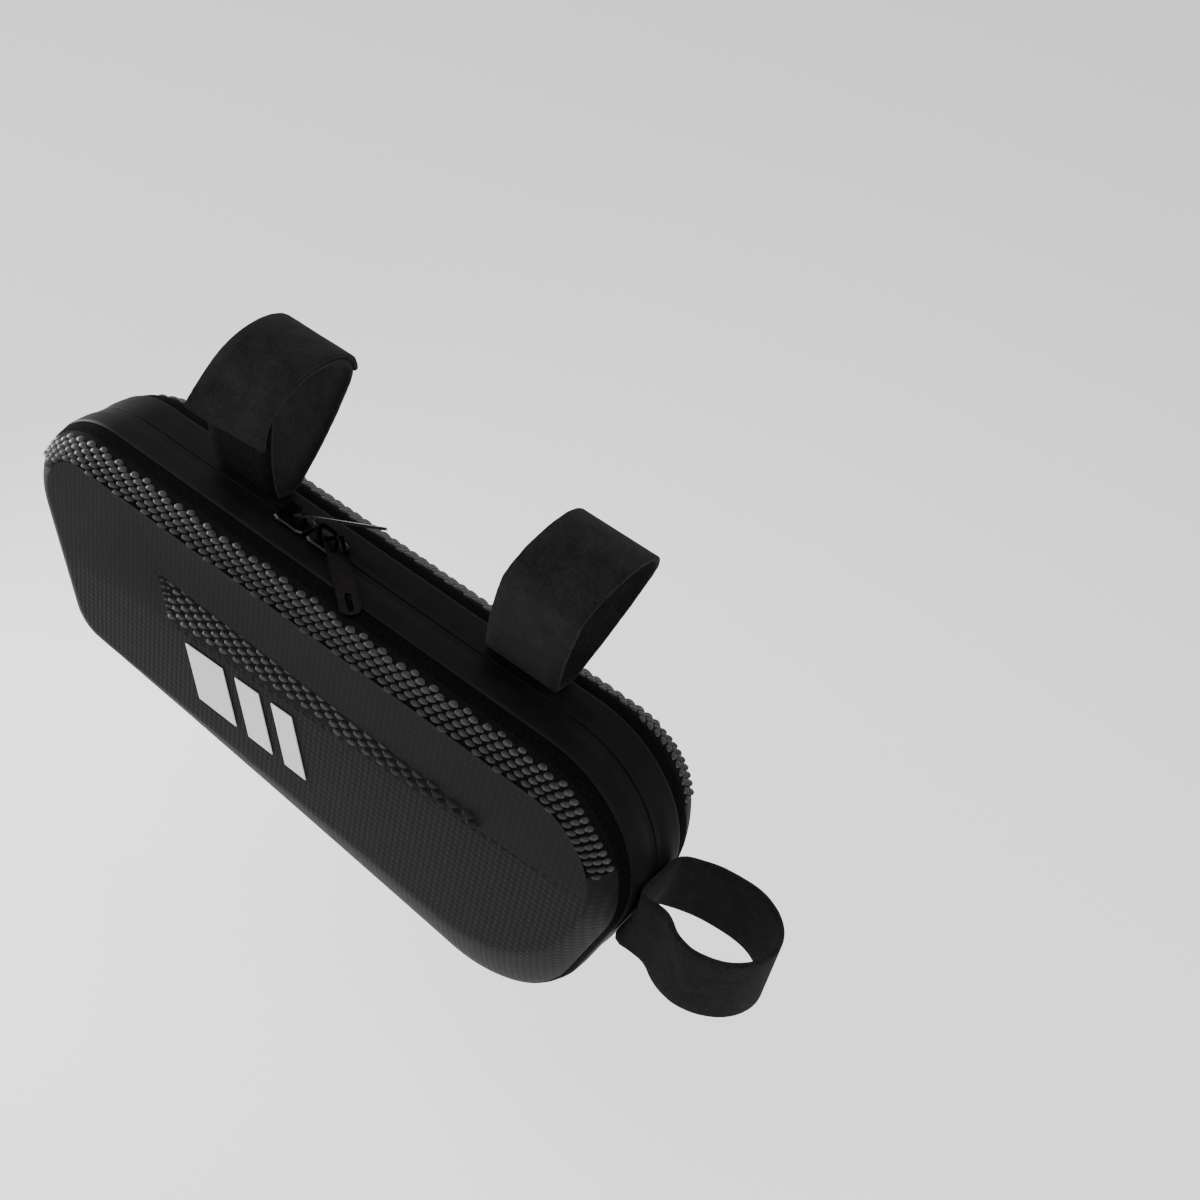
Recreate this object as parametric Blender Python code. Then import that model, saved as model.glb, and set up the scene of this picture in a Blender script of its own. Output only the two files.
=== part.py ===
"""Hard-shell bicycle frame bag: two moulded pans on a zipped band, hung from three webbing loops.

Units are metres. +X points to the rear of the bicycle, -Y to the near side, +Z away from the bag's
top edge, at right angles to it. The origin lies on the axis of the top tube that carries the bag,
midway between the two top loops.
"""
import bpy
import bmesh
from math import acos, atan2, cos, pi, radians, sin, tan
from mathutils import Matrix, Vector

CLEARANCE = 0.0003            # gap between pieces that touch on the real bag

# Side outline of the bag, measured at the rim of the pans
BAG_LENGTH = 0.278            # front end to rear end
BAG_REAR_DEPTH = 0.120        # top edge to the squared lower rear corner
BAG_CENTRE_X = -0.0225        # middle of the length, counted from the origin
FRONT_LEAN = radians(22.0)    # front end, against the vertical
REAR_LEAN = radians(16.3)     # rear end, against the vertical
BOTTOM_RISE = radians(6.1)    # bottom edge, rising to the front
TOP_FRONT_RADIUS = 0.034
TOP_REAR_RADIUS = 0.042
BOTTOM_REAR_RADIUS = 0.042
BOTTOM_FRONT_RADIUS = 0.014
CORNER_STEPS = (10, 9, 6, 8)  # rear top, rear bottom, front bottom, front top

# Pans
BAG_WIDTH = 0.057             # near face to far face
BAND_WIDTH = 0.026            # rim to rim, with the pipings
PAN_WALL = 0.0022
TOP_BEVEL = 0.0083            # how far the face lies inside the rim, on each side
REAR_BEVEL = 0.0088
FRONT_BEVEL = 0.018
FACE_DEPTH = 0.0915           # top edge to the face's lower rear corner, before rounding
FACE_BOTTOM_RISE = radians(2.4)
FACE_RADII = (0.028, 0.050, 0.013, 0.019)

# Sides of a pan, from the rim to the face: share of the bevel, share of the depth
PAN_PROFILE = (
    (0.00, 0.00),
    (0.03, 0.14),
    (0.13, 0.34),
    (0.48, 0.68),
    (1.00, 1.00),
)

# Wedge-shaped strip pressed into each face, deepest along its upper edge
STRIP_START = 0.0745          # from the front end of the bag
STRIP_LENGTH = 0.152
STRIP_TOP = 0.0297            # below the top edge of the bag, at the front
STRIP_FALL = 0.0034           # how much lower the strip's upper edge lies at the rear
STRIP_FRONT_HEIGHT = 0.0182
STRIP_REAR_HEIGHT = 0.0045
STRIP_POINT = 0.0080          # how far the lower corner lies behind the upper one
STRIP_END_SLOPE = 0.0045      # run of the sloping front end of the strip
STRIP_DEPTH = 0.0022

# Reflective stripes on the near face
STRIPE_NAMES = ("stripe_wide", "stripe_middle", "stripe_narrow")
STRIPE_WIDTHS = (0.0188, 0.0117, 0.0099)
STRIPE_GAP = 0.0063
STRIPE_START = 0.0909         # from the front end of the bag, at the upper edge
STRIPE_TOP = 0.0523           # below the top edge of the bag
STRIPE_HEIGHT = 0.0213
STRIPE_TOP_RISE = radians(3.0)
STRIPE_LEAN = radians(21.5)
STRIPE_THICKNESS = 0.0004

# Band, pipings and zip
BAND_WALL = 0.0018
BAND_CROWN = 0.0009           # how far each half of the band swells
PIPING_RADIUS = 0.0012
PIPING_SINK = 0.6             # share of its radius by which a piping's middle lies inside the rim
ZIP_WIDTH = 0.0058
ZIP_CROWN = 0.0006
ZIP_WALL = 0.0014

# Zip sliders with flat pull tabs
SLIDER_LENGTH = 0.0145
SLIDER_WIDTH = 0.0092
SLIDER_PLATE = 0.0018
SLIDER_NOSE = 0.0030          # width left at each narrow end, less than the full width
SLIDER_WAIST = 0.96           # share of the full width in the middle of the length
SLIDER_EDGE = 0.3             # share of the plate's thickness taken by each bevel
ARCH_LENGTH = 0.0090
ARCH_HEIGHT = 0.0058
ARCH_BAR = 0.0010
FRONT_SLIDER_START = 0.1110   # from the front end of the bag to the middle of the slider
SLIDER_SPACING = 0.0155
PULL_LENGTH = 0.0340
PULL_WIDTH = 0.0075
PULL_THICKNESS = 0.0010
PULL_NECK = 0.0069
PULL_NECK_LENGTH = 0.0075
PULL_EYE_WIDTH = 0.0047
PULL_EYE_LENGTH = 0.0062
PULL_SLOT_LENGTH = 0.0080
PULL_SLOT_WIDTH = 0.0022
PULL_PLAY = 0.0008            # from the crossbar to the arch leg ahead of it
REAR_PULL_TURN = radians(-34.0)
REAR_PULL_LIFT = radians(-9.0)
FRONT_PULL_TURN = radians(13.0)
FRONT_PULL_LIFT = radians(18.0)
FRONT_PULL_ROLL = radians(-33.0)  # the front pull lies twisted, its near edge up

# Webbing loops
WEBBING_WIDTH = 0.030         # of the two top loops
WEBBING_THICKNESS = 0.0020
BRANCH_SHARES = (0.12, 0.3, 0.5, 0.7, 0.88)    # points along a branch, from the foot to the tube
TOP_TUBE_RADIUS = 0.0158      # the tube that the two top loops are made for
TUBE_DROP = 0.0368            # from the underside of that tube to the top of the bag
STRAP_SPACING = 0.455 * BAG_LENGTH    # between the middles of the top loops
STRAP_BOW = 0.0016            # outward bow of each branch
STRAP_LEAN = 0.287            # sideways run of a top loop for each unit of height
STRAP_FOOT_NEAR = 0.0040      # near edge of the sewn foot, on the far half of the band
STRAP_FOOT_WIDTH = 0.0080
FLAP_THICKNESS = 0.0018       # second layer of the hook-and-loop overlap
SEAT_TUBE_RADIUS = 0.0135     # the tube that the rear loop is made for
SEAT_TUBE_GAP = 0.0090        # rear end of the bag to that tube
SEAT_STRAP_WIDTH = 0.027
SEAT_LOOP_SLACK = 0.0035
SEAT_LOOP_REACH = 0.0170      # how far the loop runs out behind the tube
SEAT_LOOP_POINT = 0.15        # further reach of its rounded end, as a share of its half width
SEAT_STRAP_DROP = 0.0500      # middle of the rear loop, below the top edge
SEAT_STRAP_RISE = 0.045       # rise of the rear loop for each unit of run behind its foot
SEAT_FOOT_SHARE = 0.62        # half width of the foot, as a share of the loop's
SEAT_NEAR_SWELL = ((0.25, -0.10), (0.5, 0.02), (0.75, 0.75), (1.0, 1.0))    # share of the run, of the swell
SEAT_FAR_SWELL = ((1.0, 1.0), (0.75, 0.95), (0.5, 0.8), (0.25, 0.45))

ARC_STEPS = 18

FRONT_X = BAG_CENTRE_X - BAG_LENGTH / 2
REAR_X = BAG_CENTRE_X + BAG_LENGTH / 2
FRONT_SLIDER_X = FRONT_X + FRONT_SLIDER_START
REAR_SLIDER_X = FRONT_SLIDER_X + SLIDER_SPACING
TOP_Z = -TOP_TUBE_RADIUS - TUBE_DROP
RIM_Y = BAND_WIDTH / 2
FACE_Y = BAG_WIDTH / 2


def clear_scene():
    """Remove what the file starts with."""
    for thing in list(bpy.data.objects):
        bpy.data.objects.remove(thing)


def make_material(name, colour, roughness, metallic=0.0):
    """Plain Principled BSDF material."""
    material = bpy.data.materials.new(name)
    material.use_nodes = True
    shader = material.node_tree.nodes["Principled BSDF"]
    shader.inputs["Base Color"].default_value = (*colour, 1.0)
    shader.inputs["Roughness"].default_value = roughness
    shader.inputs["Metallic"].default_value = metallic
    return material


def finish_object(name, mesh_builder, material, smooth_angle=35.0):
    """Turn a bmesh into a named object with outward faces."""
    bmesh.ops.remove_doubles(mesh_builder, verts=mesh_builder.verts, dist=1e-6)
    bmesh.ops.recalc_face_normals(mesh_builder, faces=mesh_builder.faces)
    mesh = bpy.data.meshes.new(name)
    mesh_builder.to_mesh(mesh)
    mesh_builder.free()
    mesh.shade_smooth()
    mesh.set_sharp_from_angle(angle=radians(smooth_angle))
    thing = bpy.data.objects.new(name, mesh)
    bpy.context.collection.objects.link(thing)
    thing.data.materials.append(material)
    return thing


def line_meet(point_a, way_a, point_b, way_b):
    """Crossing point of two lines in the side view."""
    det = way_a.x * way_b.y - way_a.y * way_b.x
    gap = point_b - point_a
    share = (gap.x * way_b.y - gap.y * way_b.x) / det
    return point_a + way_a * share


def round_corner(before, corner, after, radius, steps):
    """Points of the arc that rounds one corner of a polygon."""
    back = (before - corner).normalized()
    ahead = (after - corner).normalized()
    angle = acos(back.dot(ahead))
    reach = radius / tan(angle / 2)
    centre = corner + (back + ahead).normalized() * (radius / sin(angle / 2))
    start = corner + back * reach - centre
    end = corner + ahead * reach - centre
    first = atan2(start.y, start.x)
    sweep = (atan2(end.y, end.x) - first + pi) % (2 * pi) - pi
    points = []
    for step in range(steps + 1):
        turn = first + sweep * step / steps
        points.append(centre + Vector((cos(turn), sin(turn))) * radius)
    return points


def side_outline(insets, depth, rise, radii):
    """Rounded four-sided outline in the XZ plane.

    insets holds how far the top, rear, bottom and front edges lie inside their full lines. The bottom
    line passes at the given depth under the top edge, at the rear corner, and rises to the front.
    radii holds the corners at the rear top, rear bottom, front bottom and front top.
    """
    rear_reach = TOP_REAR_RADIUS / tan((pi / 2 - REAR_LEAN) / 2)
    front_reach = TOP_FRONT_RADIUS / tan((pi / 2 - FRONT_LEAN) / 2)
    rear_top = Vector((REAR_X - TOP_REAR_RADIUS + rear_reach, TOP_Z))
    front_top = Vector((FRONT_X + TOP_FRONT_RADIUS - front_reach, TOP_Z))
    rear_way = Vector((-sin(REAR_LEAN), -cos(REAR_LEAN)))
    front_way = Vector((sin(FRONT_LEAN), -cos(FRONT_LEAN)))
    bottom_way = Vector((-cos(rise), sin(rise)))
    rear_bottom = rear_top + rear_way * (depth / cos(REAR_LEAN))
    top, rear, bottom, front = insets
    edges = (
        (rear_top - Vector((0, top)), Vector((1, 0))),
        (rear_top + Vector((rear_way.y, -rear_way.x)) * rear, rear_way),
        (rear_bottom + Vector((bottom_way.y, -bottom_way.x)) * bottom, bottom_way),
        (front_top + Vector((-front_way.y, front_way.x)) * front, front_way),
    )
    corners = []
    for index in range(4):
        corners.append(line_meet(*edges[index], *edges[(index + 1) % 4]))
    points = []
    for index in range(4):
        points += round_corner(
            corners[index - 1], corners[index], corners[(index + 1) % 4], radii[index], CORNER_STEPS[index]
        )
    return points


def rim_outline(inset):
    """The rim's outline, moved inward by the same distance all round."""
    radii = (TOP_REAR_RADIUS, BOTTOM_REAR_RADIUS, BOTTOM_FRONT_RADIUS, TOP_FRONT_RADIUS)
    return side_outline((inset,) * 4, BAG_REAR_DEPTH, BOTTOM_RISE, [radius - inset for radius in radii])


def face_outline(inset):
    """Outline of a pan's flat face, moved inward by the same distance all round."""
    insets = (TOP_BEVEL + inset, REAR_BEVEL + inset, inset, FRONT_BEVEL + inset)
    return side_outline(insets, FACE_DEPTH, FACE_BOTTOM_RISE, [radius - inset for radius in FACE_RADII])


def add_ring(mesh, points, y):
    """Vertices of one outline at a given depth."""
    return [mesh.verts.new((point.x, y, point.y)) for point in points]


def join_rings(mesh, ring_a, ring_b):
    """Quads between two rings of the same length."""
    count = len(ring_a)
    for index in range(count):
        after = (index + 1) % count
        mesh.faces.new((ring_a[index], ring_a[after], ring_b[after], ring_b[index]))


def belt(name, section, material):
    """Closed belt round the bag: each row of the section is an inset from the rim and a depth."""
    mesh = bmesh.new()
    rings = [add_ring(mesh, rim_outline(inset), y) for inset, y in section]
    for index, ring in enumerate(rings):
        join_rings(mesh, ring, rings[(index + 1) % len(rings)])
    return finish_object(name, mesh, material)


def strip_corners(side, level, depth, grow):
    """Corners of the pressed strip: the loop on the face and the two sunk corners of its floor."""
    front = FRONT_X + STRIP_START
    rear = front + STRIP_LENGTH
    top = TOP_Z - STRIP_TOP
    rear_top = top - STRIP_FALL
    rear_depth = depth * STRIP_REAR_HEIGHT / STRIP_FRONT_HEIGHT
    loop = (
        Vector((front - grow, side * level, top + grow)),
        Vector((rear + grow, side * level, rear_top + grow)),
        Vector((rear + grow, side * level, rear_top - STRIP_REAR_HEIGHT - grow)),
        Vector((front + STRIP_POINT - grow, side * level, top - STRIP_FRONT_HEIGHT - grow)),
    )
    sunk_front = Vector((front + STRIP_END_SLOPE - grow, side * (level - depth), top + grow))
    sunk_rear = Vector((rear + grow, side * (level - rear_depth), rear_top + grow))
    return loop, (sunk_front, sunk_rear)


def close_face(mesh, ring, side, level, grow):
    """Flat face inside a ring, with the pressed strip in it."""
    loop, sunk = strip_corners(side, level, STRIP_DEPTH, grow)
    corners = [mesh.verts.new(point) for point in loop]
    floor = [mesh.verts.new(point) for point in sunk]
    edges = []
    for around in (ring, corners):
        for index, vert in enumerate(around):
            after = around[(index + 1) % len(around)]
            edges.append(mesh.edges.get((vert, after)) or mesh.edges.new((vert, after)))
    bmesh.ops.triangle_fill(mesh, edges=edges, use_beauty=True, use_dissolve=False, normal=(0, side, 0))
    mesh.faces.new((corners[0], corners[1], floor[1], floor[0]))
    mesh.faces.new((corners[0], floor[0], corners[3]))
    mesh.faces.new((corners[1], corners[2], floor[1]))
    mesh.faces.new((floor[0], floor[1], corners[3]))
    mesh.faces.new((floor[1], corners[2], corners[3]))


def pan_rings(mesh, side, wall):
    """Rings of one surface of a pan, from the rim to the face, a wall's thickness inside the outer one."""
    start = RIM_Y + PIPING_RADIUS / 2 + CLEARANCE
    end = FACE_Y - wall
    rim = rim_outline(wall)
    face = face_outline(wall / 2)
    rings = []
    for bevel_share, depth_share in PAN_PROFILE:
        points = [low.lerp(high, bevel_share) for low, high in zip(rim, face)]
        rings.append(add_ring(mesh, points, side * (start + (end - start) * depth_share)))
    for ring_a, ring_b in zip(rings[:-1], rings[1:]):
        join_rings(mesh, ring_a, ring_b)
    return rings


def pan(name, side, material):
    """One moulded pan: a hollow shell, open towards the band."""
    mesh = bmesh.new()
    outer = pan_rings(mesh, side, 0.0)
    inner = pan_rings(mesh, side, PAN_WALL)
    join_rings(mesh, outer[0], inner[0])
    close_face(mesh, outer[-1], side, FACE_Y, 0.0)
    close_face(mesh, inner[-1], side, FACE_Y - PAN_WALL, PAN_WALL / 2)
    return finish_object(name, mesh, material, smooth_angle=24.0)


def piping(name, side, material):
    """Round piping that covers the seam between a pan and the band."""
    steps = 8
    section = []
    for step in range(steps):
        turn = 2 * pi * step / steps
        inset = PIPING_RADIUS * (PIPING_SINK + cos(turn))
        section.append((inset, side * (RIM_Y - PIPING_RADIUS / 2 + PIPING_RADIUS * sin(turn))))
    return belt(name, section, material)


def half_band(name, side, material):
    """One half of the band, swelling a little between the piping and the zip."""
    outer_y = RIM_Y - PIPING_RADIUS * 1.5 - CLEARANCE
    inner_y = ZIP_WIDTH / 2 + CLEARANCE
    width = outer_y - inner_y
    shares = ((0.0, 0.0), (0.25, 0.72), (0.55, 1.0), (0.85, 0.75), (1.0, 0.25))
    outside = [(-BAND_CROWN * crown, side * (outer_y - width * share)) for share, crown in shares]
    inside = [(BAND_WALL, side * inner_y), (BAND_WALL, side * outer_y)]
    return belt(name, outside + inside, material)


def zip_belt(name, material):
    """Closed zip in the middle of the band, its two lips meeting in a shallow groove."""
    half = ZIP_WIDTH / 2
    lips = ((-1.0, 0.0), (-0.55, 0.9), (-0.2, 1.0), (0.0, 0.35), (0.2, 1.0), (0.55, 0.9), (1.0, 0.0))
    outside = [(-ZIP_CROWN * crown, half * share) for share, crown in lips]
    inside = [(ZIP_WALL, half), (ZIP_WALL, -half)]
    return belt(name, outside + inside, material)


def stripe(name, start, width, material):
    """Thin slanted reflective patch on the near face."""
    mesh = bmesh.new()
    low = TOP_Z - STRIPE_TOP - STRIPE_HEIGHT
    rise = tan(STRIPE_TOP_RISE)
    lean = tan(STRIPE_LEAN)
    corners = []
    for edge_x in (start, start + width):
        top = TOP_Z - STRIPE_TOP + (edge_x - FRONT_X - STRIPE_START) * rise
        corners += [(edge_x, top), (edge_x + (top - low) * lean, low)]
    corners = (corners[0], corners[2], corners[3], corners[1])
    back = -FACE_Y - CLEARANCE
    front = back - STRIPE_THICKNESS
    low = [mesh.verts.new((x, back, z)) for x, z in corners]
    high = [mesh.verts.new((x, front, z)) for x, z in corners]
    join_rings(mesh, low, high)
    mesh.faces.new(low)
    mesh.faces.new(high)
    return finish_object(name, mesh, material)


def offset_loop(points, distance):
    """Closed flat loop moved outward along its own normals, for a loop that runs anticlockwise."""
    moved = []
    for index, point in enumerate(points):
        before = points[index - 1]
        after = points[(index + 1) % len(points)]
        first = (point - before).normalized()
        second = (after - point).normalized()
        normal = Vector((first.y + second.y, -first.x - second.x)).normalized()
        lean = max(0.5, normal.dot(Vector((first.y, -first.x))))
        moved.append(point + normal * (distance / lean))
    return moved


def loop_solid(name, inner, outer, place, levels, material):
    """Flat webbing bent into a closed loop: place turns a loop point and a level into a position."""
    mesh = bmesh.new()
    inner_rings = []
    outer_rings = []
    for level in levels:
        inner_rings.append([mesh.verts.new(place(point, level)) for point in inner])
        outer_rings.append([mesh.verts.new(place(point, level)) for point in outer])
    for rings in (inner_rings, outer_rings):
        for ring_a, ring_b in zip(rings[:-1], rings[1:]):
            join_rings(mesh, ring_a, ring_b)
    join_rings(mesh, inner_rings[0], outer_rings[0])
    join_rings(mesh, inner_rings[-1], outer_rings[-1])
    return finish_object(name, mesh, material)


def top_loop_path():
    """Inner side of a top loop in the YZ plane: sewn foot, near branch, arc over the tube, far branch."""
    radius = TOP_TUBE_RADIUS + CLEARANCE
    foot_z = TOP_Z + BAND_CROWN + CLEARANCE + WEBBING_THICKNESS
    foot_near = STRAP_FOOT_NEAR
    foot_far = foot_near + STRAP_FOOT_WIDTH
    points = [Vector((foot_near, foot_z)), Vector((foot_far, foot_z))]
    points += branch(Vector((foot_far, foot_z)), Vector((radius, 0)), STRAP_BOW)
    for step in range(ARC_STEPS + 1):
        turn = pi * step / ARC_STEPS
        points.append(Vector((radius * cos(turn), radius * sin(turn))))
    points += reversed(branch(Vector((foot_near, foot_z)), Vector((-radius, 0)), -STRAP_BOW))
    return points


def branch(low, high, bow):
    """Inside points of a branch between the foot and the tube, bowed a little outward."""
    points = []
    for share in BRANCH_SHARES:
        point = low.lerp(high, share)
        points.append(point + Vector((bow * sin(pi * share), 0)))
    return points


def flap_share(point):
    """How much of the second webbing layer lies on a point of the top loop."""
    on_near_side = point.x < 0 and point.y > -TOP_TUBE_RADIUS * 0.75
    on_top = point.y > TOP_TUBE_RADIUS * 0.3
    return 1.0 if on_near_side or on_top else 0.0


def top_loop(name, middle_x, with_flap, material):
    """Webbing loop round the top tube, leaning to the rear as it rises."""
    inner = top_loop_path()
    outer = offset_loop(inner, WEBBING_THICKNESS)
    if with_flap:
        second = offset_loop(inner, WEBBING_THICKNESS + FLAP_THICKNESS)
        outer = [low.lerp(high, flap_share(point)) for point, low, high in zip(inner, outer, second)]

    def place(point, level):
        x = middle_x + point.y * STRAP_LEAN + level * WEBBING_WIDTH / 2
        return (x, point.x, point.y)

    return loop_solid(name, inner, outer, place, (-1.0, 1.0), material)


def rear_edge_x(z):
    """Rearmost point of the rim's outline at a given height."""
    points = rim_outline(0.0)
    best = -1.0
    for point, after in zip(points, points[1:] + points[:1]):
        if min(point.y, after.y) <= z <= max(point.y, after.y) and abs(after.y - point.y) > 1e-9:
            share = (z - point.y) / (after.y - point.y)
            best = max(best, point.x + (after.x - point.x) * share)
    return best


def seat_loop(name, material):
    """Webbing loop from the rear end of the bag round the seat tube."""
    middle_z = TOP_Z - SEAT_STRAP_DROP
    heights = [middle_z + SEAT_STRAP_WIDTH * share for share in (-0.5, -0.25, 0.0, 0.25, 0.5)]
    foot_x = max(rear_edge_x(z) for z in heights) + BAND_CROWN + CLEARANCE + WEBBING_THICKNESS
    tube_x = foot_x + SEAT_TUBE_GAP + SEAT_TUBE_RADIUS
    half = SEAT_TUBE_RADIUS + SEAT_LOOP_SLACK
    foot_half = half * SEAT_FOOT_SHARE
    points = [Vector((foot_x, foot_half)), Vector((foot_x, 0.0)), Vector((foot_x, -foot_half))]
    for share, swell in SEAT_NEAR_SWELL:
        x = foot_x + (tube_x - foot_x) * share
        points.append(Vector((x, -foot_half - (half - foot_half) * swell)))
    tail_reach = SEAT_LOOP_REACH + half * SEAT_LOOP_POINT
    for step in range(1, ARC_STEPS):
        turn = -pi / 2 + pi * step / ARC_STEPS
        points.append(Vector((tube_x + tail_reach * cos(turn), half * sin(turn))))
    for share, swell in SEAT_FAR_SWELL:
        x = foot_x + (tube_x - foot_x) * share
        points.append(Vector((x, foot_half + (half - foot_half) * swell)))
    outer = offset_loop(points, WEBBING_THICKNESS)
    reach = tube_x - foot_x

    def place(point, level):
        z = middle_z + level * SEAT_STRAP_WIDTH / 2
        follow = max(0.0, min(1.0, 1.0 - (point.x - foot_x) / reach))
        shift = rear_edge_x(z) + BAND_CROWN + CLEARANCE + WEBBING_THICKNESS - foot_x
        lift = max(0.0, point.x - foot_x) * SEAT_STRAP_RISE
        return (point.x + shift * follow, point.y, z + lift)

    return loop_solid(name, points, outer, place, (-1.0, -0.5, 0.0, 0.5, 1.0), material)


def slider_outline(grow):
    """Top view of a slider plate: wide in the middle, narrow at both ends."""
    half_length = SLIDER_LENGTH / 2 + grow
    half_width = SLIDER_WIDTH / 2 + grow
    nose = SLIDER_NOSE + grow
    shares = ((1.0, 0.0), (0.93, 0.7), (0.62, 1.0))
    quarter = [(half_length * a, nose / 2 + (half_width - nose / 2) * b) for a, b in shares]
    upper = quarter + [(0.0, half_width * SLIDER_WAIST)] + [(-x, y) for x, y in reversed(quarter)]
    return upper + [(x, -y) for x, y in reversed(upper)]


def slider(name, middle_x, material):
    """Zip slider: a bevelled plate with an arch along it for the pull."""
    seat_z = TOP_Z + max(BAND_CROWN, ZIP_CROWN) + CLEARANCE
    edge = SLIDER_PLATE * SLIDER_EDGE
    mesh = bmesh.new()
    rings = []
    for z, grow in ((0.0, -edge), (edge, 0.0), (SLIDER_PLATE - edge, 0.0), (SLIDER_PLATE, -edge)):
        rings.append([mesh.verts.new((middle_x + x, y, seat_z + z)) for x, y in slider_outline(grow)])
    for ring_a, ring_b in zip(rings[:-1], rings[1:]):
        join_rings(mesh, ring_a, ring_b)
    mesh.faces.new(rings[0])
    mesh.faces.new(rings[-1])
    plate = finish_object(name, mesh, material)

    arch = bmesh.new()
    base = seat_z + SLIDER_PLATE * 0.5
    half = ARCH_LENGTH / 2
    rise = SLIDER_PLATE * 0.5 + ARCH_HEIGHT
    path_shares = ((1.0, 0.0), (1.0, 0.62), (0.88, 0.88), (0.62, 1.0))
    path = [(half * a, rise * b) for a, b in path_shares]
    path += [(-x, z) for x, z in reversed(path)]
    sections = []
    for x, z in path:
        inner_x = x * (half - ARCH_BAR) / half
        inner_z = z * (rise - ARCH_BAR) / rise
        ring = []
        for y, (px, pz) in (
            (-ARCH_BAR / 2, (x, z)),
            (ARCH_BAR / 2, (x, z)),
            (ARCH_BAR / 2, (inner_x, inner_z)),
            (-ARCH_BAR / 2, (inner_x, inner_z)),
        ):
            ring.append(arch.verts.new((middle_x + px, y, base + pz)))
        sections.append(ring)
    for ring_a, ring_b in zip(sections[:-1], sections[1:]):
        join_rings(arch, ring_a, ring_b)
    arch.faces.new(sections[0])
    arch.faces.new(sections[-1])
    guide = finish_object(name + "_arch", arch, material)
    guide.hide_render = True
    guide.display_type = "WIRE"
    union = plate.modifiers.new("arch", "BOOLEAN")
    union.operation = "UNION"
    union.object = guide
    return plate


def pull_axis_z():
    """Height of a pull's crossbar inside the slider's arch."""
    seat_z = TOP_Z + max(BAND_CROWN, ZIP_CROWN) + CLEARANCE
    return seat_z + SLIDER_PLATE + (ARCH_HEIGHT - ARCH_BAR) / 2 + CLEARANCE


def pull_outline():
    """Top view of a pull tab, from the crossbar at x = 0 to its rounded end."""
    bar = PULL_THICKNESS / 2
    neck_end = PULL_NECK_LENGTH
    body_start = neck_end + (PULL_WIDTH - PULL_NECK)
    half = PULL_WIDTH / 2
    points = [(-bar, PULL_NECK / 2), (neck_end, PULL_NECK / 2), (body_start, half)]
    steps = 8
    centre = PULL_LENGTH - half
    arc = []
    for step in range(steps + 1):
        turn = pi / 2 - pi * step / steps
        arc.append((centre + half * cos(turn), half * sin(turn)))
    return points + arc + [(x, -y) for x, y in reversed(points)]


def rounded_slot(start, length, width, steps=4):
    """Slot with round ends along X."""
    half = width / 2
    points = []
    for centre, first in ((start + length - half, -pi / 2), (start + half, pi / 2)):
        for step in range(steps + 1):
            turn = first + pi * step / steps
            points.append((centre + half * cos(turn), half * sin(turn)))
    return points


def pull(name, slider_x, bar_shift, turn, lift, roll, material):
    """Flat pull tab whose crossbar lies in the slider's arch."""
    mesh = bmesh.new()
    half = PULL_THICKNESS / 2
    eye = (
        (half, -PULL_EYE_WIDTH / 2),
        (half + PULL_EYE_LENGTH, -PULL_EYE_WIDTH / 2),
        (half + PULL_EYE_LENGTH, PULL_EYE_WIDTH / 2),
        (half, PULL_EYE_WIDTH / 2),
    )
    slot_start = PULL_LENGTH - PULL_WIDTH / 2 - PULL_SLOT_LENGTH + PULL_SLOT_WIDTH
    slot = rounded_slot(slot_start, PULL_SLOT_LENGTH, PULL_SLOT_WIDTH)
    for z in (-half, half):
        rings = [[mesh.verts.new((x, y, z)) for x, y in loop] for loop in (pull_outline(), eye, slot)]
        edges = []
        for ring in rings:
            for index, vert in enumerate(ring):
                edges.append(mesh.edges.new((vert, ring[(index + 1) % len(ring)])))
        bmesh.ops.triangle_fill(mesh, edges=edges, use_beauty=True, use_dissolve=False, normal=(0, 0, 1))
        if z < 0:
            low_rings = rings
    for low, high in zip(low_rings, rings):
        join_rings(mesh, low, high)
    tab = finish_object(name, mesh, material)
    tab.location = (slider_x + bar_shift, 0.0, pull_axis_z())
    attitude = Matrix.Rotation(turn, 4, "Z") @ Matrix.Rotation(-lift, 4, "Y") @ Matrix.Rotation(roll, 4, "X")
    tab.rotation_euler = attitude.to_euler()
    return tab


def build():
    """Make every piece of the bag."""
    clear_scene()
    moulded = make_material("moulded_shell", (0.030, 0.031, 0.033), 0.55)
    coated = make_material("coated_band", (0.020, 0.020, 0.022), 0.42)
    webbing = make_material("hook_and_loop_webbing", (0.022, 0.022, 0.024), 0.95)
    reflective = make_material("reflective_film", (0.52, 0.52, 0.52), 0.45)
    gunmetal = make_material("gunmetal", (0.16, 0.15, 0.15), 0.32, 1.0)

    for side_name, side in (("near", -1), ("far", 1)):
        pan(side_name + "_shell", side, moulded)
        piping(side_name + "_piping", side, coated)
        half_band(side_name + "_band", side, coated)
    zip_belt("zip", coated)

    start = FRONT_X + STRIPE_START
    for name, width in zip(STRIPE_NAMES, STRIPE_WIDTHS):
        stripe(name, start, width, reflective)
        start += width + STRIPE_GAP

    bar_shift = ARCH_LENGTH / 2 - ARCH_BAR - PULL_THICKNESS / 2 - PULL_PLAY
    slider("front_slider", FRONT_SLIDER_X, gunmetal)
    slider("rear_slider", REAR_SLIDER_X, gunmetal)
    pull("front_pull", FRONT_SLIDER_X, bar_shift, FRONT_PULL_TURN, FRONT_PULL_LIFT, FRONT_PULL_ROLL, gunmetal)
    pull("rear_pull", REAR_SLIDER_X, bar_shift, REAR_PULL_TURN, REAR_PULL_LIFT, 0.0, gunmetal)

    top_loop("front_top_strap", -STRAP_SPACING / 2, True, webbing)
    top_loop("rear_top_strap", STRAP_SPACING / 2, False, webbing)
    seat_loop("seat_tube_strap", webbing)


build()
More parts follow.
